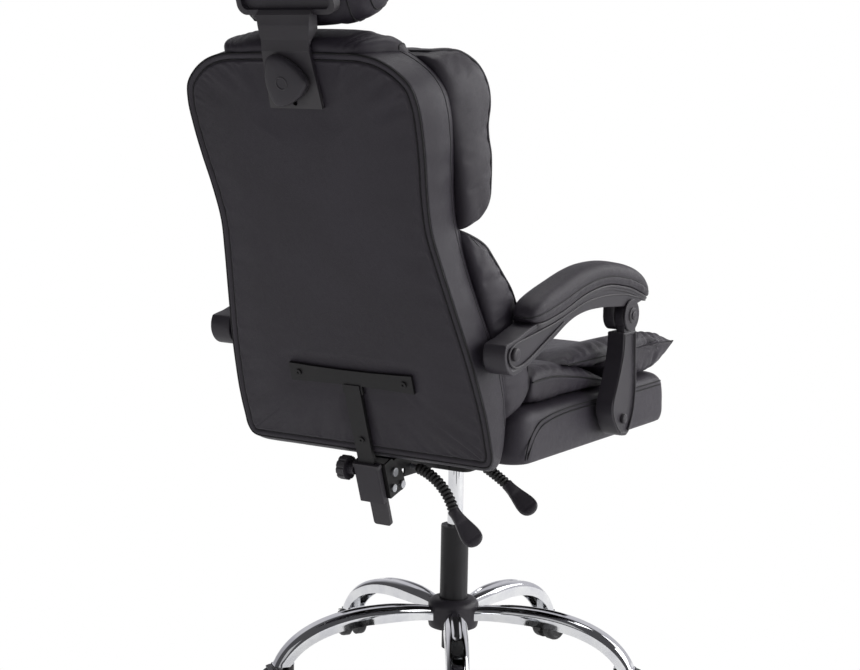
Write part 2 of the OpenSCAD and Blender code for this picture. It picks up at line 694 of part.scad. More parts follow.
module height_rod() color(zinc) union() {
    lever_rod(height_path);
    bar(height_exit, height_knee, rod_r);
    translate(height_knee) sphere(r = bend_r);
    bar(height_knee, [8, 0, tongue_z], rod_r);
    translate(height_exit) sphere(r = bend_r);
}

module height_sleeve() color(rubber) ribbed_sleeve(height_path);

module height_paddle() color(plastic) paddle(height_path, 38, 40);

// The straight end goes on along the arc's first heading and is pressed over its tip
module recline_rod() color(zinc) union() {
    ahead = [cos(recline_path[1]), 0, sin(recline_path[1])];
    lever_rod(recline_path);
    bar(recline_exit - 1.5 * ahead, recline_exit + 28 * ahead, rod_r + rod_press);
}

module recline_sleeve() color(rubber) ribbed_sleeve(recline_path);

module recline_paddle() color(plastic) paddle(recline_path, 47, 40);

// Seat

function round_ring(hx, hy, r, cy, z, k) = [for (q = [0:3]) for (i = [0:k])
    let (a = 90 * q + 90 * i / k, sx = q == 0 || q == 3 ? 1 : -1, sy = q < 2 ? 1 : -1)
    [sx * (hx - r) + r * cos(a), cy + sy * (hy - r) + r * sin(a), z]];

module seat_base() color(leather_side) difference() {
    loft([for (v = base_levels) round_ring(
        seat_w / 2 - v[1], seat_l / 2 - v[1], max(6, 38 - v[1] * 0.5), seat_mid_y,
        seat_z + v[0] / 91 * seat_h, 6)]);
    translate([0, seat_mid_y, seat_z - 1])
        round_block([board_w + 2 * rest, board_l + 2 * rest, board_t + 1 + rest], 40 + rest);
    for (s = [-1, 1]) on_side(s)
        side_pin(pivot_b_y, pivot_b_z, seat_w / 2 - 26, seat_w / 2 + 10, arm_bolt_r + fixed);
    translate([0, 0, seat_z + board_t]) for (x = [-1, 1]) for (y = [-1, 1])
        translate([x * bolt_x, y * bolt_y, 0]) cylinder(r = seat_bolt_r + rest, h = 3);
}

module seat_cushion() color(leather) loft([for (v = both(cushion_sides))
    [for (q = cushion_section) let (m = lookup(q[0], cushion_seam), h = m + (q[1] - m) * v[0])
        [v[1] * seat_pad_w / 476, q[0], base_top + max(0.4, h) * seat_pad_h / cushion_full_h]]]);

module seat_roll() color(leather) loft([for (v = both(roll_sides))
    [for (i = [0:len(roll_side) - 1])
        let (
            q = mix(roll_side[i], roll_middle[i], min(1, max(0, (222 - abs(v[1])) / 80))),
            front = max(0, -q[0] - 200) / 158,
            h = roll_seam + (q[1] - roll_seam) * v[0])
        [
            v[1] + sign(v[1]) * 13 * (1 - v[0]) * pow(front, 2), q[0],
            base_top + (h > 40 ? h + (roll_h - 82) * (h - 40) / 42 : h)]]]);

module link_bolts() color(plastic) for (s = [-1, 1]) on_side(s) {
    side_pin(pivot_b_y, pivot_b_z, seat_w / 2 - 25, arm_out + 0.5, arm_bolt_r);
    side_pin(pivot_b_y, pivot_b_z, seat_w / 2 + 0.05, arm_out - link_t - 0.1, 13);
    side_pin(pivot_b_y, pivot_b_z, arm_out + 0.2, arm_out + 2.5, 8.5);
    side_pin(pivot_b_y, pivot_b_z, arm_out + 2.4, arm_out + 4, 6.5);
}

// Back

// Padded section against the core: square corners at the rear, rounded ones at the front
function pad_section(w, hw, lo, hi, r, crown) = let (c = min(r, (hi - lo) * 0.45), f = hw - c)
    concat(
        [[-hw, w, mix(lo, hi, 0.3)], [-hw, w, hi - c], [-hw + 0.29 * c, w, hi - 0.29 * c]],
        [for (k = [-3:3]) [f * k / 3, w, hi + crown * (1 - pow(k / 3, 2))]],
        [[hw - 0.29 * c, w, hi - 0.29 * c], [hw, w, hi - c], [hw, w, mix(lo, hi, 0.3)]],
        [[hw - 7, w, lo], [-hw + 7, w, lo]]);

// Section of the back from its rear half width to its front one, the side swelled a little
function slab_section(w, rear, front, lo, hi, r, swell) = let (
    side = [for (t = [0, 0.33, 0.67, 1]) [
        mix(rear, front, t) + swell * sin(180 * t), lo + r + (hi - lo - 2 * r) * t]])
    concat(
        [for (q = side) [-q[0], w, q[1]]],
        [[-front + r, w, hi], [front - r, w, hi]],
        [for (i = [3:-1:0]) [side[i][0], w, side[i][1]]],
        [[rear - r, w, lo], [-rear + r, w, lo]]);

module board_shape(grow) {
    translate([0, 300, 0]) linear_extrude(back_board_t + grow) union() {
        square([340 + 2 * grow, 520 + 2 * grow], center = true);
        translate([0, -150]) square([400 + 2 * grow, 200 + 2 * grow], center = true);
    }
}

module back_board() color(plywood) on_back() difference() {
    translate([0, 0, panel_t + rest]) board_shape(0);
    screw_holes();
}

module screw_holes() {
    for (q = [[-tee_screw_x, tee_w], [tee_screw_x, tee_w], [0, 28]])
        translate([q[0], q[1], -20]) cylinder(r = 3 + fixed, h = 20 + panel_t + 9);
}

module rear_panel() color(leather) on_back() difference() {
    loft([for (v = outline)
        let (front = mix(v[1], v[2], panel_t / side_d), edge = v[0] < 5 || v[0] > 680 ? 4 : 0)
        slab_section(v[0], v[1] * back_width_scale, front * back_width_scale + 1, edge, panel_t, 2.5, 0)]);
    screw_holes();
    translate([0, knob_w, -5]) cylinder(r = clamp_r + run, h = 5 + panel_t - 2);
}

module back_core() color(leather_side) on_back() difference() {
    loft(concat(
        [for (v = core_foot) slab_section(
            v[0], v[1] * back_width_scale, (v[1] - 2) * back_width_scale, v[2], v[3], 5, 2)],
        [for (v = outline) slab_section(
            v[0], mix(v[1], v[2], panel_t / side_d) * back_width_scale, v[2] * back_width_scale,
            panel_t + rest, v[0] > 670 ? side_d - 3 : side_d, 3, 5)]));
    translate([0, 0, panel_t]) board_shape(rest);
    screw_holes();
    for (s = [-1, 1]) on_side(s) back_pin(arm_w, arm_n, 210, 260, arm_bolt_r + fixed);
}

// Padded roll over the top edge, narrower behind than in front: half width and share of
// its height, foot, top, depth of its rear face
yoke_stations = [
    [160, 675.5, 678.5, 68], [157, 676.5, 684, 61], [150, 678.6, 690, 48], [137, 682, 695.5, 24],
    [124, 684.4, 698.5, 6], [108, 684.4, 700, 2.5], [60, 684.4, 701.5, 2]];

module back_yoke() color(leather) on_back() loft([for (v = concat(
    [for (q = yoke_stations) [-q[0], q[1], q[2], q[3]]],
    [for (i = [len(yoke_stations) - 1:-1:0]) yoke_stations[i]]))
    [for (i = [0:15])
        let (c = cos(22.5 * i), s = sin(22.5 * i), m = v[1] + 3)
        [
            v[0] * back_width_scale, c < 0 ? max(v[1], m + 8 * sp(c, 0.5)) : m + (v[2] - m) * sp(c, 0.7),
            mix(v[3], side_d, 0.5 + 0.5 * sp(s, 0.6))]]]);

// Stations of the two back cushions: w, half width, depth of the front face
upper_stations = [
    [377, 200, 98], [381, 212, 122], [390, 219, 142], [405, 223, 152], [428, 226, 157],
    [455, 228, 163], [474, 229, 166], [498, 229, 166], [519, 229, 170], [546, 230, 183],
    [566, 230, 187], [592, 229, 183], [612, 226, 175], [629, 220, 163], [643, 212, 148],
    [652, 202, 126], [658, 188, 100]];
lumbar_stations = [
    [44, 212, 98], [50, 228, 136], [66, 236, 150], [102, 238, 161], [160, 238, 161],
    [223, 236, 158], [248, 234, 154], [274, 231, 144], [309, 226, 131], [335, 220, 122],
    [353, 213, 108], [366, 204, 94], [374, 194, 85]];

module upper_cushion() color(leather) on_back()
    loft([for (v = upper_stations)
        pad_section(v[0], v[1] * back_width_scale, front_n, v[2], 14, 12)]);

module lumbar_cushion() color(leather) on_back()
    loft([for (v = lumbar_stations)
        pad_section(v[0], v[1] * back_width_scale, front_n, v[2], 12, 2)]);

// Steel bracket and bar that carry the back

module tee_plate() {
    steps = 12;
    function edge(x) = 13 + 3 * pow(x / tee_hw, 2);
    polygon(concat(
        [for (i = [0:steps]) let (x = mix(-tee_hw, tee_hw, i / steps)) [x, tee_w - edge(x)]],
        [for (i = [steps:-1:0]) let (x = mix(-tee_hw, tee_hw, i / steps)) [x, tee_w + edge(x)]]));
}

module back_bar() color(black_steel) on_back() difference() {
    union() {
        translate([0, 0, -6]) linear_extrude(6) tee_plate();
        translate([-bar_w / 2, bracket_foot + 6, -bar_t])
            cube([bar_w, tee_w - 12 - bracket_foot - 6, bar_t]);
        translate([-bar_w / 2 - 4, tee_w - 28, -6]) cube([bar_w + 8, 20, 6]);
    }
    screw_holes();
}

module back_screws() color(black_steel) on_back()
    for (q = [[-tee_screw_x, tee_w, -6], [tee_screw_x, tee_w, -6], [0, 28, -bar_t]])
        difference() {
            union() {
                translate([q[0], q[1], q[2] - 2.6]) cylinder(r = 5.5, h = 2.55);
                translate([q[0], q[1], q[2] - 0.1]) cylinder(r = 3, h = panel_t + 6 - q[2]);
            }
            translate([q[0], q[1], q[2] - 3]) cylinder(r = 2.2, h = 2, $fn = 6);
        }

module back_bracket() color(black_steel) on_back() difference() {
    union() {
        translate([-flange_out, bracket_foot, 0]) cube([2 * flange_out, bracket_top - bracket_foot, web_t]);
        for (s = [0, 1]) mirror([s, 0, 0]) translate([flange_in, 0, 0]) rotate([90, 0, 90])
            linear_extrude(flange_out - flange_in) union() {
                polygon([
                    [bracket_top, 0], [bracket_foot, 0], [bolt_c[0] - 9, bolt_c[1] - 4],
                    [bolt_c[0], bolt_c[1] + 10], [-58, 46], [-34, 34], [bracket_top, 22]]);
                translate(bolt_c) circle(r = 10);
            }
    }
    back_pin(hinge_w, hinge_n, -50, 50, 5 + fixed);
    back_pin(bolt_b[0], bolt_b[1], -50, 50, 4 + fixed);
    back_pin(bolt_c[0], bolt_c[1], -50, 50, 4 + fixed);
    back_pin(knob_axis[0], knob_axis[1], 0, 50, 11.5);
}

module bar_sleeve() color(plastic) on_back() difference() {
    union() {
        translate([0, bracket_foot - 4, 0]) rotate([-90, 0, 0]) translate([0, -sleeve_n / 2, 0])
            round_block([2 * sleeve_hw - 4, -sleeve_n - 2 * rest, bracket_top - bracket_foot + 6], 3);
        translate([0, bracket_top - 4, 0]) rotate([-90, 0, 0]) translate([0, -sleeve_n / 2, 0])
            round_block([2 * sleeve_hw, -sleeve_n - 2 * rest, 7], 3);
        translate([-17, bracket_foot - 4, sleeve_n + rest]) cube([34, 3.7, web_t + rest + 7 - sleeve_n - rest]);
        translate([0, bracket_foot - 29, web_t + rest]) round_block([34, 57.4, 7], 5);
    }
    translate([-bar_w / 2 - rest, bracket_foot + 5, -bar_t - rest]) cube([bar_w + 2 * rest, 200, 30]);
    translate([-60, bracket_foot - rest, 0]) cube([120, bracket_top - bracket_foot + 60, 60]);
    back_pin(knob_axis[0], knob_axis[1], 0, 50, 3.5 + run);
}

module bracket_bolts() color(zinc) on_back() {
    back_pin(hinge_w, hinge_n, -flange_out - 0.1, flange_out + 0.1, 5);
    back_pin(bolt_b[0], bolt_b[1], -flange_out - 0.1, flange_out + 0.1, 4);
    back_pin(bolt_c[0], bolt_c[1], -flange_out - 0.1, flange_out + 0.1, 4);
    for (s = [0, 1]) mirror([s, 0, 0]) {
        back_pin(hinge_w, hinge_n, flange_out + 0.05, flange_out + 4, 7.5);
        back_pin(bolt_b[0], bolt_b[1], flange_out + 0.05, flange_out + 3.5, 6.5);
        back_pin(bolt_c[0], bolt_c[1], flange_out + 0.05, flange_out + 3.5, 6.5);
    }
}

// Grip knob on the sitter's left that clamps the bar in its sleeve
module side_knob() color(plastic) on_back() union() {
    back_pin(knob_axis[0], knob_axis[1], bar_w / 2 + rest, sleeve_hw + 5, 3.5);
    back_pin(knob_axis[0], knob_axis[1], sleeve_hw + 0.4, sleeve_hw + 13, 10);
    across(sleeve_hw + 12, sleeve_hw + 27) translate(knob_axis) difference() {
        circle(r = 20.5);
        for (i = [0:9]) rotate(36 * i + 9) translate([22, 0]) circle(r = 3);
    }
}

module arm_bolts() color(plastic) for (s = [-1, 1]) on_side(s) {
    side_pin(pivot_a_y, pivot_a_z, 214, arm_out + 0.5, arm_bolt_r);
    side_pin(pivot_a_y, pivot_a_z, arm_x - 6, arm_x - 0.1, 15);
    side_pin(pivot_a_y, pivot_a_z, arm_out + 0.2, arm_out + 2.5, 10.5);
    side_pin(pivot_a_y, pivot_a_z, arm_out + 2.4, arm_out + 4.5, 8);
}

// Headrest

module rounded_plate(x0, x1, w0, w1, n0, n1, r) {
    translate([(x0 + x1) / 2, (w0 + w1) / 2, n0]) round_block([x1 - x0, w1 - w0, n1 - n0], r);
}

module headrest_carrier() color(plastic) on_back() difference() {
    union() {
        intersection() {
            across(-70, 70) polygon(plate_side);
            translate([0, 0, -30]) linear_extrude(80) polygon(concat(
                [for (q = plate_edge) [q[1], q[0]]],
                [for (i = [len(plate_edge) - 1:-1:0]) [-plate_edge[i][1], plate_edge[i][0]]]));
        }
        rounded_plate(-90, 90, tray_w, tray_w + tray_h, tray_n, tray_n + 16, 16);
    }
    rounded_plate(-81, 81, tray_w + 8, tray_w + tray_h - 8, tray_n - 10, tray_n + 8, 10);
    translate([-slot_r, slot_low, -30]) cube([2 * slot_r, slot_high - slot_low, 60]);
    for (w = [slot_low, slot_high]) translate([0, w, -30]) cylinder(r = slot_r, h = 60);
}

// Half width, share of the height, depth of the rear face, depth of the front face
headrest_stations = [
    [134, 0.38, 94, 112], [131, 0.62, 84, 118], [122, 0.82, 66, 119], [105, 0.93, 49, 114],
    [82, 0.98, 36, 108], [45, 1, 30.3, 101]];

module headrest_pad() color(leather) on_back() {
    mid = tray_w - 30 + headrest_h / 2;
    loft([for (v = concat(
        [for (q = headrest_stations) [-q[0], q[1], q[2], q[3]]],
        [for (i = [len(headrest_stations) - 1:-1:0]) headrest_stations[i]]))
        [for (i = [0:19]) let (c = cos(18 * i), s = sin(18 * i))
            [
                v[0], mid + headrest_h / 2 * v[1] * sp(c, 0.6),
                mix(v[2], v[3], 0.5 + 0.5 * sp(s, 0.6))]]]);
}

// Three-cornered clamp knob: the overlap of three discs, each through two of its tips
function tip_arc(a, b) = let (m = (a + b) / 2, d = b - a, l = norm(d))
    m + [-d[1], d[0]] / l * sqrt(knob_arc * knob_arc - l * l / 4);

module headrest_knob() color(plastic) on_back() translate([0, knob_w, 0]) union() {
    translate([0, 0, plate_n - rest - 18]) linear_extrude(14) intersection_for(i = [0:2])
        translate(tip_arc(knob_tips[i], knob_tips[(i + 1) % 3])) circle(r = knob_arc);
    translate([0, 0, plate_n - rest - 19]) cylinder(r = 11.5, h = 2);
    translate([0, 0, plate_n - rest - 5]) cylinder(r = 12, h = 5);
    translate([0, 0, plate_n - rest - 1]) cylinder(r = clamp_r, h = panel_t - plate_n - 3);
}

// Armrests, drawn on the sitter's left

module arm_profile() {
    intersection() {
        translate([pivot_a_y, pivot_a_z]) circle(r = arm_end_r);
        polygon([
            [pivot_a_y - 60, 600], [pivot_a_y + 60, 600], [pivot_a_y + 60, 672],
            [pivot_a_y - 60, 694]]);
    }
    polygon(concat(
        [[-145, 706], [-118, 700], [-66, 700], [-40, 702], [23, 706], [80, 703], [135, 690],
            [177, 671], [219, 653], [252, 640], [pivot_a_y - 16, pivot_a_z - 27],
            [pivot_a_y, pivot_a_z], [pivot_a_y, 681.5]],
        pad_line(240, -146)));
}

function pad_line(y0, y1) = [for (v = pad_stations) if (v[0] <= y0 && v[0] >= y1) [v[0], v[1] - rest]];

// Raised rim under the pad
module arm_rim() {
    top = pad_line(240, -157);
    m = len(top);
    polygon(concat(top, [for (i = [m - 1:-1:0]) top[i] - [0, rim_t * (i == m - 1 ? 0.4 : 1)]]));
}

module arm_frame() difference() {
    union() {
        across(arm_x, arm_out) arm_profile();
        across(arm_x - 4, arm_out + 4) arm_rim();
        across(arm_x, arm_x + eye_in - 0.5) union() {
            translate([pivot_c_y, pivot_c_z]) circle(r = knuckle_r);
            translate([pivot_c_y - knuckle_r, pivot_c_z]) square([2 * knuckle_r, 24]);
        }
    }
    side_pin(pivot_a_y, pivot_a_z, arm_x - 10, arm_out + 10, arm_bolt_r + run);
    side_pin(pivot_c_y, pivot_c_z, arm_x + eye_in - 0.4, arm_out + 10, eye_r + 4);
}

module link_body() {
    polygon([
        [-71, 654], [-71, 618], [-48, 557], [-35, 531], [-38, 512], [-52, 490], [-68, 476],
        [-94, 471], [-109, 481], [-122, 519], [-127, 545], [-122, 598], [-120, 654]]);
}

module arm_link() difference() {
    union() {
        across(arm_out - link_t, arm_out) link_body();
        across(arm_x + eye_in, arm_out) union() {
            translate([pivot_c_y, pivot_c_z]) circle(r = eye_r);
            polygon([
                [pivot_c_y - 28, pivot_c_z], [pivot_c_y - 27, 650], [pivot_c_y + 22, 650],
                [pivot_c_y + 28, pivot_c_z]]);
        }
        side_pin(pivot_c_y, pivot_c_z, arm_out - 1, arm_out + 2.5, 12);
    }
    across(arm_out - 1.5, arm_out + 1) translate([-84, 575]) scale([0.62, 0.72])
        translate([84, -575]) link_body();
    side_pin(pivot_b_y, pivot_b_z, arm_x - 10, arm_out + 10, arm_bolt_r + run);
}

function arm_pad_section(v) = let (a = arm_pad_hw * v[3], h = v[2] - v[1],
    half = [[1, 0.3], [0.98, 0.55], [0.87, 0.78], [0.62, 0.93], [0.25, 1]])
    [for (q = concat(
        half, [for (i = [4:-1:0]) [-half[i][0], half[i][1]]],
        [[-0.97, 0.08], [-0.8, 0], [0.8, 0], [0.97, 0.08]]))
        [arm_x + arm_t / 2 + a * q[0], v[0], v[1] + h * q[1]]];

module arm_pad() loft([for (v = pad_stations) arm_pad_section(v)]);

module arm_frame_left() color(plastic) arm_frame();
module arm_frame_right() color(plastic) on_side(-1) arm_frame();
module arm_pad_left() color(leather) arm_pad();
module arm_pad_right() color(leather) on_side(-1) arm_pad();
module arm_link_left() color(plastic) arm_link();
module arm_link_right() color(plastic) on_side(-1) arm_link();

base_star();
hub_cover();
gas_tube();
tube_bush();
thrust_bearing();
stem_sockets();
caster_frame(0);  // caster_frame_1
caster_frame(1);  // caster_frame_2
caster_frame(2);  // caster_frame_3
caster_frame(3);  // caster_frame_4
caster_frame(4);  // caster_frame_5
wheel(0, 1);  // wheel_left_1
wheel(1, 1);  // wheel_left_2
wheel(2, 1);  // wheel_left_3
wheel(3, 1);  // wheel_left_4
wheel(4, 1);  // wheel_left_5
wheel(0, -1);  // wheel_right_1
wheel(1, -1);  // wheel_right_2
wheel(2, -1);  // wheel_right_3
wheel(3, -1);  // wheel_right_4
wheel(4, -1);  // wheel_right_5
piston_rod();
gas_cylinder();
valve_pin();
mechanism_tub();
recline_channel();
seat_bolts();
seat_board();
seat_base();
seat_cushion();
seat_roll();
link_bolts();
height_rod();
height_sleeve();
height_paddle();
recline_rod();
recline_sleeve();
recline_paddle();
back_bracket();
bar_sleeve();
bracket_bolts();
back_bar();
back_screws();
back_board();
rear_panel();
back_core();
back_yoke();
upper_cushion();
lumbar_cushion();
arm_bolts();
side_knob();
headrest_carrier();
headrest_pad();
headrest_knob();
arm_frame_left();
arm_frame_right();
arm_pad_left();
arm_pad_right();
arm_link_left();
arm_link_right();
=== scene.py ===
"""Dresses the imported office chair: leather, moulded and chromed pieces, materials, studio, camera."""
import json
import math

import bmesh
import bpy
import numpy as np
from mathutils import Matrix


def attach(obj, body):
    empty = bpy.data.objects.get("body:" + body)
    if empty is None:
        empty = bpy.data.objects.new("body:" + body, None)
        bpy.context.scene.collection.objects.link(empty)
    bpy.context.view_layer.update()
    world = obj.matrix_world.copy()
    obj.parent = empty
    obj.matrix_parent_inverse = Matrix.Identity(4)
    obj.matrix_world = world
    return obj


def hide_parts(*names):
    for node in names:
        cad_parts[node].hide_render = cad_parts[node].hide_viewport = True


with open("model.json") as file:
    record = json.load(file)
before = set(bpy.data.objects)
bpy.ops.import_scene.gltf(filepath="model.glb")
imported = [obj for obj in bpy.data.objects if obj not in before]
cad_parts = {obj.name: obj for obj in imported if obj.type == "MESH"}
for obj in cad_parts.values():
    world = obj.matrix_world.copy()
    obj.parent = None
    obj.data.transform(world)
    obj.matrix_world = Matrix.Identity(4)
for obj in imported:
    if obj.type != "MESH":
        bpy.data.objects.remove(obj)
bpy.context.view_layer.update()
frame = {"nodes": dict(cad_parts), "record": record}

MM = 0.001
IMAGE_W = 860  # width of the photograph
FOCAL = 1824  # focal length in widths of one of its pixels
CAMERA_FAR, CAMERA_HIGH = 3.2, 1.073  # from the lift axis and over the floor, in metres


# Camera of the photograph

def add_camera():
    """Camera of the photograph: its pan, tilt and roll, turned into the chair's frame."""
    turn, pan, tilt, roll = np.radians([31.2, -0.92, 7.86, 1.08])
    ahead = np.array([np.sin(pan) * np.cos(tilt), np.cos(pan) * np.cos(tilt), -np.sin(tilt)])
    side = np.array([np.cos(pan), -np.sin(pan), 0.0])
    up = np.cross(side, ahead)
    side, up = np.cos(roll) * side + np.sin(roll) * up, np.cos(roll) * up - np.sin(roll) * side
    to_chair = np.array([[-np.cos(turn), np.sin(turn), 0], [-np.sin(turn), -np.cos(turn), 0], [0, 0, 1]])
    data = bpy.data.cameras.new("camera")
    data.sensor_width = 36
    data.lens = FOCAL / IMAGE_W * data.sensor_width
    data.clip_start, data.clip_end = 0.1, 60
    obj = bpy.data.objects.new("camera", data)
    bpy.context.scene.collection.objects.link(obj)
    matrix = np.eye(4)
    matrix[:3, 0], matrix[:3, 1], matrix[:3, 2] = to_chair @ side, to_chair @ up, to_chair @ -ahead
    matrix[:3, 3] = to_chair @ np.array([0, -CAMERA_FAR, CAMERA_HIGH])
    obj.matrix_world = Matrix(matrix.tolist())
    bpy.context.scene.camera = obj


add_camera()


# Materials

def srgb(code):
    """Linear colour of a #rrggbb code: ((c + 0.055) / 1.055) ** 2.4 above 0.04045, c / 12.92 below."""
    values = [int(code[i:i + 2], 16) / 255 for i in (1, 3, 5)]
    return [((c + 0.055) / 1.055) ** 2.4 if c > 0.04045 else c / 12.92 for c in values] + [1.0]


class Shader:
    """A node material: add() makes a node, where an input is a value or another node's output."""

    def __init__(self, name):
        self.material = bpy.data.materials.new(name)
        self.material.use_nodes = True
        self.tree = self.material.node_tree
        self.tree.nodes.clear()

    def add(self, kind, inputs=None, **settings):
        node = self.tree.nodes.new("ShaderNode" + kind)
        for key, value in settings.items():
            setattr(node, key, value)
        for key, value in (inputs or {}).items():
            if isinstance(value, bpy.types.NodeSocket):
                self.tree.links.new(value, node.inputs[key])
            else:
                node.inputs[key].default_value = value
        return node

    def place(self):
        return self.add("TexCoord").outputs["Object"]

    def noise(self, scale, detail=3.0, rough=0.5, warp=0.0):
        return self.add("TexNoise", {"Vector": self.place(), "Scale": scale, "Detail": detail,
                                     "Roughness": rough, "Distortion": warp}).outputs["Fac"]

    def span(self, value, low, high, start=0.3, end=0.7):
        return self.add("MapRange", {"Value": value, "From Min": start, "From Max": end,
                                     "To Min": low, "To Max": high}).outputs["Result"]

    def mix(self, factor, first, second):
        node = self.add("Mix", data_type="RGBA")
        for socket, value in zip((node.inputs[0], node.inputs[6], node.inputs[7]), (factor, first, second)):
            if isinstance(value, bpy.types.NodeSocket):
                self.tree.links.new(value, socket)
            else:
                socket.default_value = value
        return node.outputs[2]

    def bump(self, height, distance, strength=1.0, under=None):
        inputs = {"Height": height, "Distance": distance, "Strength": strength}
        if under is not None:
            inputs["Normal"] = under
        return self.add("Bump", inputs).outputs["Normal"]

    def finish(self, **inputs):
        named = {key.replace("_", " "): value for key, value in inputs.items()}
        principled = self.add("BsdfPrincipled", named)
        output = self.add("OutputMaterial")
        self.tree.links.new(principled.outputs[0], output.inputs[0])
        return self.material


def leather(name, colour, light, rough):
    """Coated leather: pebbled grain of about 1.2 mm, fine pores, slow drift of tone and gloss."""
    s = Shader(name)
    cells = s.add("TexVoronoi", {"Vector": s.place(), "Scale": 820.0, "Randomness": 1.0},
                  feature="DISTANCE_TO_EDGE").outputs["Distance"]
    grain = s.span(cells, 0.0, 1.0, 0.0, 0.35)
    creases = s.noise(110, 5, 0.65, 0.6)
    slow = s.noise(7, 2)
    tone = s.mix(s.span(slow, 0.0, 1.0), srgb(colour), srgb(light))
    tone = s.mix(s.span(grain, 0.35, 0.0, 0.0, 0.5), tone, srgb("#19181a"))
    normal = s.bump(creases, 0.0009, 0.35)
    normal = s.bump(grain, 0.00022, 0.55, normal)
    return s.finish(Base_Color=tone, Roughness=s.span(creases, rough - 0.05, rough + 0.06),
                    Normal=normal, Specular_IOR_Level=0.32)


def moulded(name, colour, light, rough, grain=1400.0, depth=0.00012):
    """Moulded plastic: spark-eroded grain, faint flow marks, sharp edges painted a little lighter, partly as
    rubbing wear and partly as painted highlight.
    """
    s = Shader(name)
    fine = s.noise(grain, 2, 0.6)
    slow = s.noise(18, 3)
    edge_wear_and_highlight = s.add("NewGeometry").outputs["Pointiness"]
    tone = s.mix(s.span(slow, 0.0, 1.0), srgb(colour), srgb(light))
    # convex edges and raised beads mixed towards light grey: rubbing wear and painted highlight
    tone = s.mix(s.span(edge_wear_and_highlight, 0.0, 0.35, 0.52, 0.6), tone, srgb("#5a5958"))
    return s.finish(Base_Color=tone, Roughness=s.span(slow, rough - 0.04, rough + 0.05),
                    Normal=s.bump(fine, depth, 0.6), Specular_IOR_Level=0.4)


def coated(name, colour, light, rough):
    """Powder-coated steel: orange peel of about 1.5 mm under a fine speckle."""
    s = Shader(name)
    peel = s.noise(520, 2, 0.5)
    slow = s.noise(12, 2)
    tone = s.mix(s.span(slow, 0.0, 1.0), srgb(colour), srgb(light))
    normal = s.bump(peel, 0.0002, 0.5)
    return s.finish(Base_Color=tone, Roughness=s.span(peel, rough - 0.05, rough + 0.06), Normal=normal,
                    Specular_IOR_Level=0.3)


def metal(name, colour, rough, drift, wave=0.0):
    """Bare or plated metal: gloss that drifts, with a faint ripple where it was pressed or drawn."""
    s = Shader(name)
    slow = s.noise(26, 3, 0.6)
    inputs = {"Base_Color": s.mix(s.span(slow, 0.0, 1.0), srgb(colour), srgb("#d9dade")),
              "Metallic": 1.0, "Roughness": s.span(slow, rough, rough + drift)}
    if wave:
        inputs["Normal"] = s.bump(s.noise(9, 1, 0.4), wave, 0.5)
    return s.finish(**inputs)


def plywood():
    """Raw plywood: stretched grain in two tones."""
    s = Shader("plywood")
    stretch = s.add("Mapping", {"Vector": s.place(), "Scale": (60.0, 6.0, 220.0)}).outputs[0]
    rings = s.add("TexNoise", {"Vector": stretch, "Scale": 1.0, "Detail": 5.0}).outputs["Fac"]
    tone = s.mix(s.span(rings, 0.0, 1.0, 0.35, 0.65), srgb("#8f6a40"), srgb("#c79c66"))
    return s.finish(Base_Color=tone, Roughness=0.7, Normal=s.bump(rings, 0.0003, 0.4))


LEATHER = leather("leather", "#2c282f", "#322e36", 0.47)
SIDE = leather("leather_side", "#2b272f", "#312d35", 0.46)
# leather of the back's side: a darker copy of the leather, painted shade for the side that turns away from
# the lamps
SHADED_LEATHER_GUSSET = leather("leather_gusset_painted_shade", "#27232b", "#2d2931", 0.47)
PADS = leather("leather_pads", "#27232a", "#2d2930", 0.49)
PIPING = leather("piping", "#242127", "#2a272d", 0.5)
# near-black thread for the stitches; also used for the dark lines along the seams, which are thread colour
# and painted shade of the seams' grooves
THREAD_AND_SEAM_SHADE = coated("thread", "#0f0e10", "#161517", 0.62)
PLASTIC = moulded("black_plastic", "#29262b", "#302d33", 0.46)
GLOSS = moulded("caster_plastic", "#1b1b1b", "#232323", 0.3, 900.0, 0.00005)
WHEEL = moulded("wheel_plastic", "#1d1d1e", "#28282a", 0.42)
RUBBER = moulded("black_rubber", "#1a1a1a", "#242323", 0.5, 800.0)
STEEL = coated("black_steel", "#161516", "#1d1c1d", 0.44)
TUBE = coated("black_tube", "#1d1c1e", "#252426", 0.42)
CHROME = metal("chrome", "#eceded", 0.035, 0.05, 0.0012)
ZINC = metal("zinc", "#b9bcc0", 0.26, 0.14)
PLYWOOD = plywood()
SLOTS = {"chrome": CHROME, "black_steel": STEEL, "zinc": ZINC, "black_plastic": PLASTIC,
         "black_rubber": RUBBER, "caster_plastic": GLOSS, "wheel_plastic": WHEEL, "plywood": PLYWOOD,
         "leather": LEATHER, "leather_side": SIDE}


# Mesh tools: shapes are made in millimetres and stored in metres

LEAN = math.radians(19.3)  # of the back panel from upright
BACK_FOOT = (285, 467)  # y and z of the foot of the panel
WELD = 0.02 * MM  # points nearer than this are one


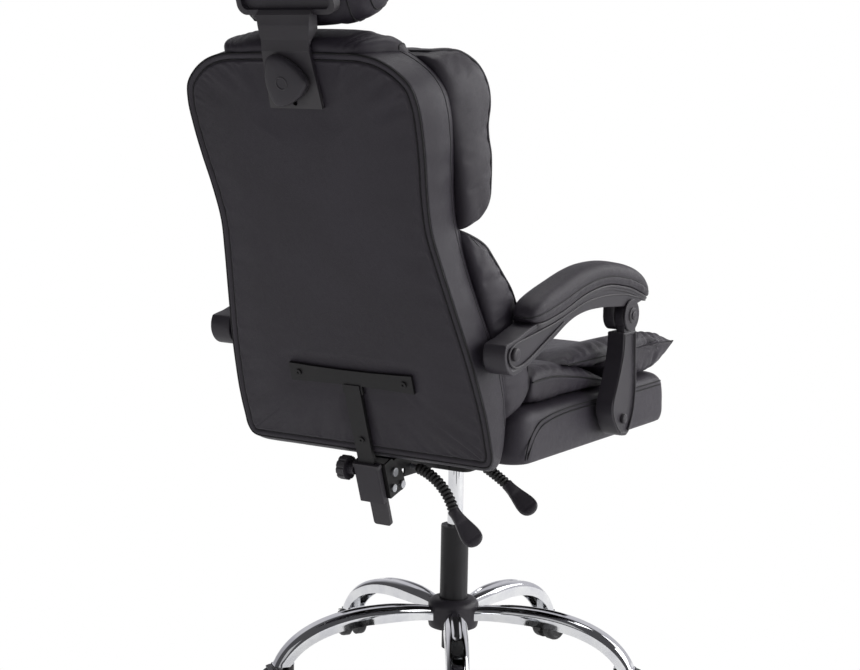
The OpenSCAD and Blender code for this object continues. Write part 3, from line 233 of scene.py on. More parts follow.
def smooth(points, step, axis=0, closed=False, sharp=()):
    """Cubic through the points along an axis, tangent m_k = (h_k d_(k-1) + h_(k-1) d_k) / (h_(k-1) + h_k)
    for gaps h and slopes d, a step apart; a sharp point keeps a slope of its own on each side."""
    p = np.moveaxis(np.asarray(points, float), axis, 0)
    q = np.concatenate([p, p[:1]]) if closed else p
    h = np.linalg.norm(np.diff(q, axis=0), axis=-1).reshape(len(q) - 1, -1).mean(1) + 1e-9
    wide = h.reshape(-1, *[1] * (p.ndim - 1))
    d = np.diff(q, axis=0) / wide
    if closed:
        before, after, gap_a, gap_b = np.roll(d, 1, 0), d, np.roll(wide, 1, 0), wide
    else:
        before, after = np.concatenate([d[:1], d]), np.concatenate([d, d[-1:]])
        gap_a, gap_b = np.concatenate([wide[:1], wide]), np.concatenate([wide, wide[-1:]])
    m = (gap_b * before + gap_a * after) / (gap_a + gap_b)
    leave, reach = m.copy(), m.copy()
    for k in sharp:
        leave[k], reach[k] = after[k], before[k]
    rows = []
    for k in range(len(h)):
        count = max(1, round(h[k] / step))
        u = (np.arange(count) / count).reshape(-1, *[1] * (p.ndim - 1))
        rows.append(q[k] * (2 * u**3 - 3 * u**2 + 1) + leave[k] * h[k] * (u**3 - 2 * u**2 + u)
                    + q[k + 1] * (3 * u**2 - 2 * u**3) + reach[(k + 1) % len(p)] * h[k] * (u**3 - u**2))
    if not closed:
        rows.append(q[-1:])
    return np.moveaxis(np.concatenate(rows), 0, axis)


def circle(count):
    """Angles of a whole turn."""
    return np.arange(count) / count * 2 * np.pi


def spokes(turn, u, v):
    """Unit vectors u cos(a) + v sin(a) at the angles of a turn."""
    return np.cos(turn)[:, None] * u[..., None, :] + np.sin(turn)[:, None] * v[..., None, :]


def hoop(radius, z, turn):
    """Level circle about the lift axis."""
    return np.stack([radius * np.cos(turn), radius * np.sin(turn), np.full(len(turn), float(z))], -1)


def run_along(path):
    """Distance from the start of a polyline to each of its points."""
    return np.concatenate([[0], np.cumsum(np.linalg.norm(np.diff(path, axis=0), axis=1))])


def heading(loop):
    """Unit vectors along a closed line."""
    along = np.roll(loop, -1, 0) - np.roll(loop, 1, 0)
    return along / np.linalg.norm(along, axis=1, keepdims=True)


def ease(x, low, high):
    """0 below low, 1 above high, 3t^2 - 2t^3 between."""
    t = np.clip((np.asarray(x, float) - low) / (high - low), 0, 1)
    return t * t * (3 - 2 * t)


def wander(s, length, seed, waves=5):
    """Seamless noise of about -1 to 1 along a closed line: a sum of sines near one wavelength."""
    spin = np.random.default_rng(seed)
    total = max(2, round(float(np.max(s)) / length))
    out = 0
    for _ in range(waves):
        turns = max(1, round(total * (0.55 + 0.9 * spin.random())))
        out = out + np.sin(2 * np.pi * (turns * s / np.max(s) + spin.random())) / waves**0.5
    return out


def lean_back(points):
    """Points (x, w, n) of the back to (x, y, z): w up the panel from its foot, n forwards from its rear."""
    p = np.asarray(points, float)
    c, s = math.cos(LEAN), math.sin(LEAN)
    return np.stack([p[..., 0], BACK_FOOT[0] + p[..., 1] * s - p[..., 2] * c,
                     BACK_FOOT[1] + p[..., 1] * c + p[..., 2] * s], -1)


def in_back(points):
    """Heights w and depths n of points (x, y, z): lean_back undone."""
    y, z = points[:, 1] - BACK_FOOT[0], points[:, 2] - BACK_FOOT[1]
    return y * math.sin(LEAN) + z * math.cos(LEAN), z * math.sin(LEAN) - y * math.cos(LEAN)


def quads(rows, columns, start=0):
    """Faces between neighbouring rings of one closed grid."""
    a = start + np.arange((rows - 1) * columns).reshape(rows - 1, columns)
    b = np.roll(a, -1, 1)
    return np.stack([a, b, b + columns, a + columns], -1).reshape(-1, 4).tolist()


def bridge(first, last, columns):
    """Faces that join the last ring of a grid to its first one."""
    after = [(j + 1) % columns for j in range(columns)]
    return [[last + j, last + k, first + k, first + j] for j, k in enumerate(after)]


def lids(first, last, columns):
    """One face over each end ring of a grid."""
    return [[first + j for j in range(columns)][::-1], [last + j for j in range(columns)]]


def piece(name, points, faces, material, body, stands_for=(), angle=60):
    """A mesh object from points in millimetres, smooth but for edges sharper than the angle."""
    mesh = bpy.data.meshes.new(name)
    mesh.from_pydata((np.asarray(points, float) * MM).tolist(), [], faces)
    mesh.validate()
    work = bmesh.new()
    work.from_mesh(mesh)
    bmesh.ops.remove_doubles(work, verts=work.verts, dist=WELD)
    bmesh.ops.recalc_face_normals(work, faces=work.faces)
    work.to_mesh(mesh)
    work.free()
    mesh.shade_smooth()
    mesh.set_sharp_from_angle(angle=math.radians(angle))
    mesh.materials.append(material)
    obj = bpy.data.objects.new(name, mesh)
    bpy.context.scene.collection.objects.link(obj)
    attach(obj, body)
    if stands_for:
        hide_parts(*([stands_for] if isinstance(stands_for, str) else stands_for))
    return obj


def skin(name, grid, material, body, stands_for=(), angle=60):
    """A closed solid through rings, with a fan at each end."""
    rows, columns = grid.shape[:2]
    points = np.concatenate([grid.reshape(-1, 3), grid[0].mean(0)[None], grid[-1].mean(0)[None]])
    end = rows * columns
    faces = quads(rows, columns)
    faces += [[end, (j + 1) % columns, j] for j in range(columns)]
    faces += [[end + 1, end - columns + j, end - columns + (j + 1) % columns] for j in range(columns)]
    return piece(name, points, faces, material, body, stands_for, angle)


def turned(path, closed=False):
    """Two unit vectors across a path at each point, carried along without twist."""
    p = np.asarray(path, float)
    along = (np.roll(p, -1, 0) - np.roll(p, 1, 0)) if closed else np.gradient(p, axis=0)
    along /= np.linalg.norm(along, axis=1, keepdims=True) + 1e-12
    side = np.cross(along[0], [0.3, 0.2, 1.0] if abs(along[0][2]) < 0.9 else [1.0, 0.2, 0.1])
    sides = []
    for a in along:
        side = side - a * (side @ a)
        side = side / np.linalg.norm(side)
        sides.append(side)
    sides = np.array(sides)
    return sides, np.cross(along, sides)


def tubes(name, paths, radius, material, body, closed=False, around=8):
    """Round cords along paths, all in one piece."""
    points, faces = [], []
    for path in paths:
        p = np.asarray(path, float)
        u, v = turned(p, closed)
        ring = p[:, None] + radius * spokes(circle(around), u, v)
        start = sum(len(q) for q in points)
        points.append(ring.reshape(-1, 3))
        faces += quads(len(p), around, start)
        ends = start, start + (len(p) - 1) * around
        faces += bridge(*ends, around) if closed else lids(*ends, around)
    return piece(name, np.concatenate(points), faces, material, body)


def spread(path, gap):
    """Points at equal distances along a polyline."""
    p = np.asarray(path, float)
    run = run_along(p)
    at = np.linspace(0, run[-1], max(2, round(run[-1] / gap) + 1))
    return np.stack([np.interp(at, run, p[:, k]) for k in range(3)], -1)


def stitches(name, paths, body, pitch=5.2, length=3.6, radius=0.55):
    """Rows of thread stitches that dip into the leather at both ends."""
    points, faces = [], []
    turn = circle(6)
    along = np.array([-0.5, -0.3, 0.0, 0.3, 0.5]) * length
    size = np.array([0.25, 0.85, 1.0, 0.85, 0.25]) * radius
    for path in paths:
        p = spread(path, pitch)
        u, v = turned(p)
        ahead = np.cross(u, v)
        for k in range(len(p)):
            base = len(points) * len(along) * len(turn)
            ring = p[k] + along[:, None, None] * ahead[k] + size[:, None, None] * spokes(turn, u[k], v[k])
            points.append(ring.reshape(-1, 3))
            faces += quads(len(along), len(turn), base)
            faces += lids(base, base + (len(along) - 1) * len(turn), len(turn))
    return piece(name, np.concatenate(points), faces, THREAD_AND_SEAM_SHADE, body)


def puff(obj, hold, pressure=3.0, grow=0.03, cap=6.0, frames=14, stiff=6.0):
    """Cloth under pressure, held where hold is true; the cut is a little too large, so it wrinkles
    between its seams. No point moves further than the cap."""
    scene = bpy.context.scene
    mesh = obj.data
    start = np.empty(len(mesh.vertices) * 3)
    mesh.vertices.foreach_get("co", start)
    group = obj.vertex_groups.new(name="hold")
    group.add(np.nonzero(hold(start.reshape(-1, 3) / MM))[0].tolist(), 1.0, "REPLACE")
    cloth = obj.modifiers.new("cloth", "CLOTH")
    cloth.settings.quality = 6
    cloth.settings.mass = 0.25
    cloth.settings.tension_stiffness = cloth.settings.compression_stiffness = stiff
    cloth.settings.shear_stiffness = stiff / 2
    cloth.settings.bending_stiffness = 0.15
    cloth.settings.use_pressure = True
    cloth.settings.uniform_pressure_force = pressure
    cloth.settings.shrink_min = -grow
    cloth.settings.vertex_group_mass = "hold"
    cloth.settings.effector_weights.gravity = 0
    cloth.point_cache.frame_start, cloth.point_cache.frame_end = 1, frames
    for k in range(1, frames + 1):
        scene.frame_set(k)
    shown = obj.evaluated_get(bpy.context.evaluated_depsgraph_get())
    moved = shown.to_mesh()
    end = np.empty(len(start))
    moved.vertices.foreach_get("co", end)
    shown.to_mesh_clear()
    obj.modifiers.remove(cloth)
    scene.frame_set(1)
    step = (end - start).reshape(-1, 3)
    size = np.linalg.norm(step, axis=1, keepdims=True) + 1e-12
    step *= np.minimum(1, cap * MM * np.tanh(size / (cap * MM)) / size)
    mesh.vertices.foreach_set("co", (start.reshape(-1, 3) + step).ravel())
    mesh.update()
    obj.vertex_groups.clear()


def refine(obj, levels=1):
    """Live subdivision, the same on screen and in a render."""
    subdivide = obj.modifiers.new("subdivide", "SUBSURF")
    subdivide.levels = subdivide.render_levels = levels


# Seat

BASE_FOOT, BASE_TOP = 459, 550.0  # z of the boxed base
SEAT_MIDDLE = -71.5  # y of the middle of the base
PAD_SIDE = 238  # seam at the side of the two pads, from the middle of the chair


def seat_base():
    """Boxed base: rounded rectangles stacked on the side profile, sides bellied by 2 mm."""
    levels = smooth([[0, 7], [2.5, 2.5], [9, 0], [36, -1.5], [64, 0], [72, 1.2], [79, 4.5], [84.5, 10],
                     [88.5, 19], [90.5, 31], [91, 48]], 3.5)
    half_w, half_l, corner_r = 247, 278.5, 38
    rings = []
    for height, inset in levels:
        hx, hy, r = half_w - inset, half_l - inset, max(6, corner_r - inset * 0.5)
        ring = []
        for corner, (sx, sy) in enumerate([(1, 1), (-1, 1), (-1, -1), (1, -1)]):
            for k in range(13):
                a = math.radians(90 * corner + 7.5 * k)
                ring.append([sx * (hx - r) + r * math.cos(a),
                             SEAT_MIDDLE + sy * (hy - r) + r * math.sin(a), BASE_FOOT + height])
        rings.append(ring)
    grid = smooth(rings, 12, 1, closed=True, sharp=[0, 12, 13, 25, 26, 38, 39, 51])
    crease = np.exp(-((levels[:, 0] - 80) / 7) ** 2)[:, None] * wander(run_along(grid[0]), 46, 3)[None]
    grid[:, :, 2] += 0.7 * crease
    top = grid[-1]
    middle = np.array([0, SEAT_MIDDLE, BASE_TOP + 0.2])
    inner = [middle + (top - middle) * k for k in (0.8, 0.5, 0.2)]
    grid = np.concatenate([grid, np.array(inner)])
    obj = skin("seat_base_cover", grid, SIDE, "seat", "seat_base")
    rows, upper = [], 536.5
    for z, out in ((upper, 0.15), (upper - 7.5, 0.1)):
        drop = upper - z
        for side in (-1, 1):
            x = side * (half_w + 0.9 + out)
            run = [[x, -312, z], [x, -200, z], [x, -40, z], [x, 70, z - 1], [x, 118 - drop, z - 5],
                   [x, 152 - drop, z - 13], [x, 172 - drop, z - 27], [x, 186 - drop, z - 46],
                   [x, 194 - drop, 470]]
            rows.append(smooth(run, 4))
    stitches("seat_base_stitches", rows, "seat")
    # dark lines under the stitches: thread colour and painted shade of the seam grooves
    tubes("seat_base_seams", [smooth(r, 4) for r in rows], 1.15, THREAD_AND_SEAM_SHADE, "seat")


def seat_pads():
    """Sitting cushion and front roll: lens sections across the seat, drawn in to a seam at the sides."""
    def lens(section, seam, sides, bulge=None):
        """Sections at each x: heights h(y) over the base, drawn towards the seam by share."""
        out = []
        for share, x in [(q[0], -q[1]) for q in sides] + [(q[0], q[1]) for q in sides[::-1]]:
            ring = []
            for y, h in section(x):
                middle = seam(y)
                value = middle + (h - middle) * share
                ring.append([x if bulge is None else bulge(x, y, share), y, BASE_TOP + max(0.4, value)])
            out.append(ring)
        return np.array(out)

    pad = [[158, 42], [155, 53], [144, 60], [100, 61], [57, 57], [21, 52], [-19, 44], [-57, 34], [-85, 24],
           [-110, 12], [-120, 6], [-110, 0.8], [-60, 0.4], [30, 0.4], [128, 0.4], [150, 6], [156, 20]]
    line = np.array([[-120, 6], [-98, 13], [-51, 22], [-9, 30], [32, 36], [89, 43], [158, 42]])
    grid = lens(lambda x: pad, lambda y: np.interp(y, line[:, 0], line[:, 1]),
                [[0.02, PAD_SIDE], [0.42, 236.5], [0.7, 232.5], [0.88, 225], [0.97, 210], [1, 180], [1, 130],
                 [1, 60]])
    grid = smooth(smooth(grid, 7, 1, closed=True, sharp=[10, 13]), 7, 0)
    gather = 1.5 * wander(run_along(grid[len(grid) // 2]), 30, 5)
    far = PAD_SIDE - np.abs(grid[:, :, 0])
    grid[:, :, 2] += gather[None] * np.exp(-far / 16) * ease(far, 0, 5) * (grid[:, :, 2] > BASE_TOP + 6)
    obj = skin("seat_cushion_cover", grid, LEATHER, "seat", "seat_cushion")
    rests = BASE_TOP + 3
    puff(obj, lambda p: (p[:, 2] < rests) | (np.abs(p[:, 0]) > PAD_SIDE - 2.5) | (p[:, 1] > 150), cap=5)
    refine(obj)
    edge = [[y, BASE_TOP + h] for y, h in line]
    seams = [smooth([[side * (PAD_SIDE + 0.2), y, z] for y, z in edge], 5) for side in (-1, 1)]

    side = np.array([
        [38, 55.6], [34, 58], [20, 63.5], [4, 68], [-22, 73.5], [-54, 77.5], [-87, 80], [-125, 81.5],
        [-226, 82], [-272, 78.5], [-320, 71], [-346, 63.5], [-358, 56.5], [-363, 42], [-354, 22],
        [-328, 7], [-300, 0.6], [-205, 0.6], [-172, 10], [-147, 30], [-115, 38], [-54, 38],
        [-19, 44.6], [21, 52.6]])
    full = np.array([
        [38, 55.6], [34, 58], [20, 60], [4, 61], [-22, 61.5], [-54, 61], [-87, 60], [-125, 58],
        [-226, 49.5], [-272, 44], [-320, 37.5], [-346, 32.5], [-360, 27], [-364, 20], [-357, 11],
        [-332, 3.5], [-300, 0.6], [-205, 0.6], [-172, 10], [-147, 30], [-115, 38], [-54, 38],
        [-19, 44.6], [21, 52.6]])

    def section(x):
        k = min(1, max(0, (222 - abs(x)) / 80))
        return side + (full - side) * k

    def ear(x, y, share):
        front = max(0, -y - 200) / 158
        return x + math.copysign(13 * (1 - share) * front**2, x)

    seam_h = 55.6
    grid = lens(section, lambda y: seam_h,
                [[0.02, 237], [0.42, 235.5], [0.7, 231], [0.88, 222], [0.97, 206], [1, 178], [1, 150],
                 [1, 120], [1, 50]], ear)
    grid = smooth(smooth(grid, 5, 1, closed=True, sharp=[0]), 5.5, 0)
    gather = 1.8 * wander(run_along(grid[len(grid) // 2]), 38, 9)
    far = PAD_SIDE - np.abs(grid[:, :, 0])
    grid[:, :, 2] += gather[None] * np.exp(-np.maximum(far, 0) / 20) * ease(far, 0, 6) * (
        grid[:, :, 2] > BASE_TOP + 10)
    folds = (([[246, -290, 600], [232, -274, 614], [205, -262, 628]], 8.0),
             ([[244, -312, 600], [226, -318, 612], [196, -322, 622]], 4.5),
             ([[242, -296, 598], [236, -304, 578], [222, -310, 556]], 6.5))
    for path, depth in folds:
        one_side = np.abs(grid) * [1, 0, 0] + grid * [0, 1, 1]
        gap = np.sqrt(((one_side[:, :, None] - smooth(path, 3)) ** 2).sum(3).min(2))
        dent = depth * np.exp(-(gap / 5.5) ** 2) - 0.4 * depth * np.exp(-((gap - 12) / 5) ** 2)
        grid[:, :, 0] -= np.sign(grid[:, :, 0]) * 0.6 * dent
        over_seam = np.where(grid[:, :, 2] > 603, 0.8, -0.3)
        grid[:, :, 2] -= over_seam * dent * (grid[:, :, 2] > BASE_TOP + 4)
    obj = skin("seat_roll_cover", grid, LEATHER, "seat", "seat_roll")
    puff(obj, lambda p: (p[:, 2] < rests) | (np.abs(p[:, 0]) > PAD_SIDE - 3)
         | ((p[:, 1] > -110) & (p[:, 2] < seam_h + BASE_TOP + 0.4)), cap=5)
    refine(obj)
    for side_x in (-PAD_SIDE + 0.6, PAD_SIDE - 0.6):
        run = [[ear(side_x, y, 0.02), y, BASE_TOP + seam_h + 0.2]
               for y in (38, -20, -100, -200, -260, -310, -345, -357)]
        seams.append(smooth(run, 5))
    # dark lines along the seams: thread colour and painted shade of the seam grooves
    tubes("seat_seams", seams, 1.5, THREAD_AND_SEAM_SHADE, "seat")


seat_base()
seat_pads()


# Back

BACK_DEPTH = 78  # from the rear panel to the front of the boxing
OUTLINE = np.array([  # height, half width at the rear, half width at the front
    [2, 228, 214], [7, 237, 217], [17, 242, 221], [45, 244, 228], [90, 244, 235], [140, 240, 237],
    [200, 233, 227], [250, 225, 217], [300, 217, 208], [350, 209, 202], [405, 202, 200],
    [462, 205, 208], [518, 212, 218], [569, 216, 224], [605, 216, 221], [635, 209, 203],
    [657, 190, 176], [674, 164, 140], [684, 129, 105]], float)


def back_edge(step, column=1):
    """Closed outline of the back in (x, w): up the left, over the top, down the right, along the foot."""
    half = [[v[column], v[0]] for v in OUTLINE]
    foot = [[0, 1.5], [90, 1.5], [165, 1.5], [210, 1.5]]
    head = [[90, 686], [45, 686.6], [0, 686.8]]
    right = foot + half + head
    left = [[-x, w] for x, w in right[1:-1]][::-1]
    return smooth(np.array(right + left, float), step, closed=True)


def rear_cover():
    """Rear panel as rings inwards from its edge: seam, welt, gathered seam, then a low dome."""
    edge = back_edge(5.5)
    along = heading(edge)
    inwards = np.stack([-along[:, 1], along[:, 0]], -1)
    for _ in range(4):
        inwards = (np.roll(inwards, 1, 0) + 2 * inwards + np.roll(inwards, -1, 0)) / 4
    inwards /= np.linalg.norm(inwards, axis=1, keepdims=True)
    s = run_along(edge)
    centre = np.stack([np.zeros(len(edge)), np.clip(edge[:, 1], 185, 515)], -1)
    seam, border, width = 14, 16.5, 216
    profile = [(0.4, 6), (0.5, 2.4), (1.4, 1.0), (2.6, -0.3), (4.6, -0.9), (7.6, -0.7), (10, 0.2),
               (11.2, 1.5), (12.2, 1.6), (13.2, 0.3), (14.6, -0.9), (border, -1.4)]
    pucker = wander(s, 21, 11) + 0.6 * wander(s, 9, 12)
    rows = []
    for d, n in profile:
        flat = edge + inwards * d
        gather = 0.5 * pucker * np.exp(-((d - seam) / 2.2) ** 2)
        rows.append(np.stack([flat[:, 0], flat[:, 1], n + gather], -1))
    rim = edge + inwards * border
    strong = 0.5 + 0.7 * ease(edge[:, 1], 560, 640) + 0.8 * ease(-edge[:, 1], -90, -30)
    for d in (2.5, 5, 8, 12, 17, 23, 30, 40, 52, 66, 84, 104, 128, 154, 184, width):
        flat = rim + (centre - rim) * (d / width)
        gather = 0.9 * strong * pucker * np.exp(-d / 12)
        fold = 0.7 * strong * wander(s, 70, 13) * np.exp(-((d - 30) / 26) ** 2)
        dome = -1.3 - 1.9 * ease(d, 0, 60)
        x, w = np.abs(flat[:, 0]), flat[:, 1]
        plate = np.hypot(np.maximum(x - 118, 0), np.maximum(np.abs(w - 140.5) - 18, 0))
        tee = np.minimum(plate, np.hypot(np.maximum(x - 15.5, 0), np.maximum(w - 140, 0)))
        free = np.minimum(np.clip(ease(x, 58, 96) + ease(-w, -585, -545), 0, 1), ease(tee, 1, 22))
        level = np.minimum(dome - gather - fold, 0.6)
        rows.append(np.stack([flat[:, 0], w, level * free + 0.3 * (1 - free)], -1))
    grid = lean_back(np.array(rows))
    obj = piece("rear_cover", grid.reshape(-1, 3), quads(*grid.shape[:2]), LEATHER, "back", "rear_panel",
                75)
    refine(obj)
    welt, seam_line = rows[8], rows[2] - [0, 0, 0.4]
    # dark lines on the welt and the edge seam: thread colour and painted shade of the seam grooves
    tubes("rear_seams", [lean_back(welt), lean_back(seam_line)], 1.5, THREAD_AND_SEAM_SHADE, "back", closed=True, around=6)


def back_gusset():
    """Side of the back: from the rear seam to the front one, bellied by 5 mm, as rings in depth."""
    count = 260

    def even(loop):
        closed = np.concatenate([loop, loop[:1]])
        run = run_along(closed)
        at = np.linspace(0, run[-1], count + 1)[:-1]
        return np.stack([np.interp(at, run, closed[:, k]) for k in (0, 1)], -1)

    rear, front = even(back_edge(8)), even(back_edge(8, 2))
    foot = ease(-rear[:, 1], -30, -2)
    top = ease(rear[:, 1], 600, 670)
    along = heading(rear)
    out = np.stack([along[:, 1], -along[:, 0]], -1)
    waves = 0.5 * wander(run_along(rear), 60, 21)
    rows = []
    for n, inset in ((4, 14), (2.6, 2), (2.2, 0.6), (2.8, -0.1), (4.5, -0.3), (8, 0), (14, 0), (22, 0),
                     (30, 0), (38, 0), (46, 0), (54, 0), (59.5, 0), (61.5, 0.5), (63, 0.5), (65, 0),
                     (70, 0.2), (74, 1.0), (76.8, 2.6), (BACK_DEPTH, 6), (BACK_DEPTH, 30)):
        k = np.clip((n - 2) / (BACK_DEPTH - 2), 0, 1)
        swell = 5 * math.sin(math.pi * k) - inset
        upwards = swell * (1 - top) if swell > 0 else swell + 0 * top
        flat = rear + (front - rear) * k + out * np.stack([swell + 0 * top, upwards], -1)
        belly = 16.5 * math.sin(math.pi * min(1, k * 1.25)) ** 0.7 if k > 0 else 0
        flat[:, 1] -= foot * belly
        ripple = waves * math.sin(math.pi * k)
        flat = flat + out * [1, 0.2] * ripple[:, None]
        rows.append(np.concatenate([flat, np.full((count, 1), float(n))], 1))
    # the side of the back is in the darker copy of the leather: painted shade
    obj = skin("back_gusset", lean_back(np.array(rows)), SHADED_LEATHER_GUSSET, "back", "back_core", 75)
    line = np.array(rows[13])[(rear[:, 1] > 30) & (np.abs(rear[:, 0]) > 60)]
    line = [q[np.argsort(q[:, 1])] for q in (line[line[:, 0] > 0], line[line[:, 0] < 0])]
    # dark lines along the gusset seams: thread colour and painted shade of the seam grooves
    tubes("gusset_seams", [lean_back(q) for q in line], 0.9, THREAD_AND_SEAM_SHADE, "back")
    # the cord at the front seam is in the darker copy of the leather too: painted shade
    cord = np.concatenate([front - out * 3.2, np.full((count, 1), BACK_DEPTH + 0.4)], 1)
    tubes("front_seam", [lean_back(cord)], 2.6, SHADED_LEATHER_GUSSET, "back", closed=True)
    refine(obj)


def back_yoke():
    """Padded roll on the top edge: its underside follows the boxing, folds are drawn to its ends."""
    stations = np.array([
        [163, 0, 71], [161, 7, 66], [157, 12.5, 57], [149, 15.6, 43], [138, 16.4, 22],
        [124, 15.8, 6], [108, 15.6, 2.5], [60, 16, 2], [0, 16.2, 2]], float)
    every = smooth(np.concatenate([stations * [-1, 1, 1], stations[-2::-1]]), 4)
    around = 40
    c, sn = np.cos(circle(around)), np.sin(circle(around))
    edge = np.concatenate([OUTLINE, [[686, 90, 80], [686.6, 45, 40], [686.8, 0, 0]]])
    folds = ((3.4, 127, 12, 2.6), (2.8, 115, 16, 2.6), (2.2, 103, 19, 2.8))
    rows = []
    for x, thick, rear in every:
        n = rear + (BACK_DEPTH - rear) * (0.5 + 0.5 * np.sign(sn) * np.abs(sn) ** 0.6)
        k = np.clip((n - 2) / (BACK_DEPTH - 2), 0, 1)
        half = edge[:, 1] + (edge[:, 2] - edge[:, 1]) * k[:, None]
        under = np.array([np.interp(-abs(x), -h[12:], edge[12:, 0]) for h in half])
        fold = sum(deep * np.exp(-((abs(x) - at - slant * sn) / wide) ** 2)
                   for deep, at, slant, wide in folds)
        w = under + np.where(c > 0, (thick + 1.2) * np.abs(c) ** 0.62 - fold * min(1, thick / 12), -2.5)
        rows.append(np.stack([np.full(around, x), w, n], -1))
    obj = skin("yoke_cover", lean_back(np.array(rows)), LEATHER, "back", "back_yoke")
    ends = [lean_back(rows[k][[j % around for j in range(-9, 10)]]) for k in (4, len(rows) - 5)]
    # dark lines at the yoke's end seams: thread colour and painted shade of the seam grooves
    tubes("yoke_seams", ends, 1.0, THREAD_AND_SEAM_SHADE, "back")
    refine(obj)


def near(points, lines, reach):
    """Which points lie within reach of the points of some lines."""
    found = np.zeros(len(points), bool)
    for q in np.concatenate(lines):
        found |= ((points - q) ** 2).sum(1) < reach**2
    return found


def back_cushion(name, stations, corner, crown, node, seeds, material):
    """Cushion on the front of the back: width and depth by height, crowned, piped at its front edge."""
    line = smooth(stations, 7)
    low = BACK_DEPTH + 0.3
    rows, pipes = [], []
    for w, half, top in line:
        c = min(corner, (top - low) * 0.45)
        flat = half - c
        side = [[-half + 3, low + 1], [-half - 0.5, low + 0.25 * (top - low)],
                [-half - 1.5, low + 0.55 * (top - low)], [-half, top - c],
                [-half + 0.29 * c, top - 0.29 * c], [-half + c, top]]
        front = [[flat * k / 8, top + crown * (1 - (k / 8) ** 2)] for k in range(-7, 8)]
        foot = [[half - 40, low], [0, low], [-half + 40, low]]
        ring = side + front + [[-x, n] for x, n in side[::-1]] + foot
        rows.append([[x, w, n] for x, n in ring])
        pipes.append([half - 0.29 * c - 0.1, w, top - 0.29 * c - 0.1])
    grid = smooth(np.array(rows, float), 8, 1, closed=True)
    s = run_along(grid[:, 4])
    wide = np.abs(grid[:, :, 0])
    margin = np.exp(-(wide.max(1, keepdims=True) - wide) / 14)
    gather = (wander(s, 26, seeds[0]) + 0.5 * wander(s, 12, seeds[1]))[:, None]
    grid[:, :, 2] += 1.7 * gather * margin * ease(grid[:, :, 2], 88, 106)
    obj = skin(name, lean_back(grid), material, "back", node)
    ends = stations[0][0] + 6, stations[-1][0] - 6

    def hold(p):
        w, n = in_back(p)
        return (n < low + 5.7) | (w < ends[0]) | (w > ends[1]) | near(p, [lean_back(loop)], 4.5)

    pipe = np.array(pipes)
    loop = spread(np.concatenate([pipe, (pipe * [-1, 1, 1])[::-1], pipe[:1]]), 6)[:-1]
    puff(obj, hold, cap=5)
    refine(obj)
    tubes(name + "_piping", [lean_back(loop)], 2.4, PIPING, "back", closed=True)
    return line


def back_cushions():
    upper = [
        [377, 200, 98], [381, 212, 122], [390, 219, 142], [405, 223, 152], [428, 226, 157],
        [455, 228, 163], [474, 229, 166], [498, 229, 166], [519, 229, 170], [546, 230, 183],
        [566, 230, 187], [592, 229, 183], [612, 226, 175], [629, 220, 163], [643, 212, 148],
        [652, 202, 126], [658, 188, 100]]
    lumbar = [
        [44, 212, 98], [50, 228, 136], [66, 236, 150], [102, 238, 161], [160, 238, 161],
        [223, 236, 158], [248, 234, 154], [274, 231, 144], [309, 226, 131], [335, 220, 122],
        [353, 213, 108], [366, 204, 94], [374, 194, 85]]
    back_cushion("upper_cushion_cover", upper, 14, 12, "upper_cushion", (31, 32), PADS)
    line = back_cushion("lumbar_cushion_cover", lumbar, 12, 2, "lumbar_cushion", (33, 34), LEATHER)
    low = BACK_DEPTH + 0.3
    seam = smooth([[half + 1.6, w, low + 0.5 * (top - low)] for w, half, top in line[2:-3]], 5)
    # dark lines along the lumbar side seams: thread colour and painted shade of the seam grooves
    tubes("lumbar_seams", [lean_back(seam), lean_back(seam * [-1, 1, 1])], 0.8, THREAD_AND_SEAM_SHADE, "back")


rear_cover()
back_gusset()
back_yoke()
back_cushions()


# Headrest

def headrest():
    """Pad with rounded ends: superellipse rings across the chair, a seam round each end."""
    stations = np.array([  # place across, share of the height, rear and front
        [129.6, 0.3, 96, 110], [129, 0.38, 94, 112], [125.5, 0.62, 84, 118], [118, 0.8, 66, 119],
        [104, 0.91, 49, 114], [82, 0.98, 36, 108], [45, 1, 30.3, 101], [0, 1, 30.3, 100]], float)
    middle, half_h, around, seams = 787.5, 77.5, 48, (96, 119)
    every = smooth(np.concatenate([stations * [-1, 1, 1, 1], stations[-2::-1]]), 6)
    c, sn = np.cos(circle(around)), np.sin(circle(around))
    rows = []
    for x, share, rear, front in every:
        w = middle + half_h * share * np.sign(c) * np.abs(c) ** 0.6
        n = rear + (front - rear) * (0.5 + 0.5 * np.sign(sn) * np.abs(sn) ** 0.6)
        pinch = sum(1.6 * math.exp(-((abs(x) - seam) / 3.0) ** 2) for seam in seams)
        w = w - pinch * np.sign(c) * np.abs(c)
        n = n - np.where(sn > 0, pinch, 0)
        rows.append(np.stack([np.full(around, x), w, n], -1))
    grid = np.array(rows)
    by_seam = np.exp(-np.abs(np.abs(grid[:, :, 0]) - seams[0]) / 10)
    grid[:, :, 1] += 0.7 * wander(np.arange(around) * 10.0, 40, 41)[None] * by_seam
    obj = skin("headrest_cover", lean_back(grid), LEATHER, "headrest", "headrest_pad")
    rings = [lean_back(grid[np.abs(grid[:, 0, 0] - side * x).argmin()]) for side in (-1, 1) for x in seams]
    # dark lines round the headrest ends: thread colour and painted shade of the seam grooves
    tubes("headrest_seams", rings, 1.3, THREAD_AND_SEAM_SHADE, "headrest", closed=True)
    puff(obj, lambda p: np.any([np.abs(np.abs(p[:, 0]) - x) < 4 for x in seams], axis=0), cap=3.5, grow=0.02)
    refine(obj)


headrest()


# Armrests

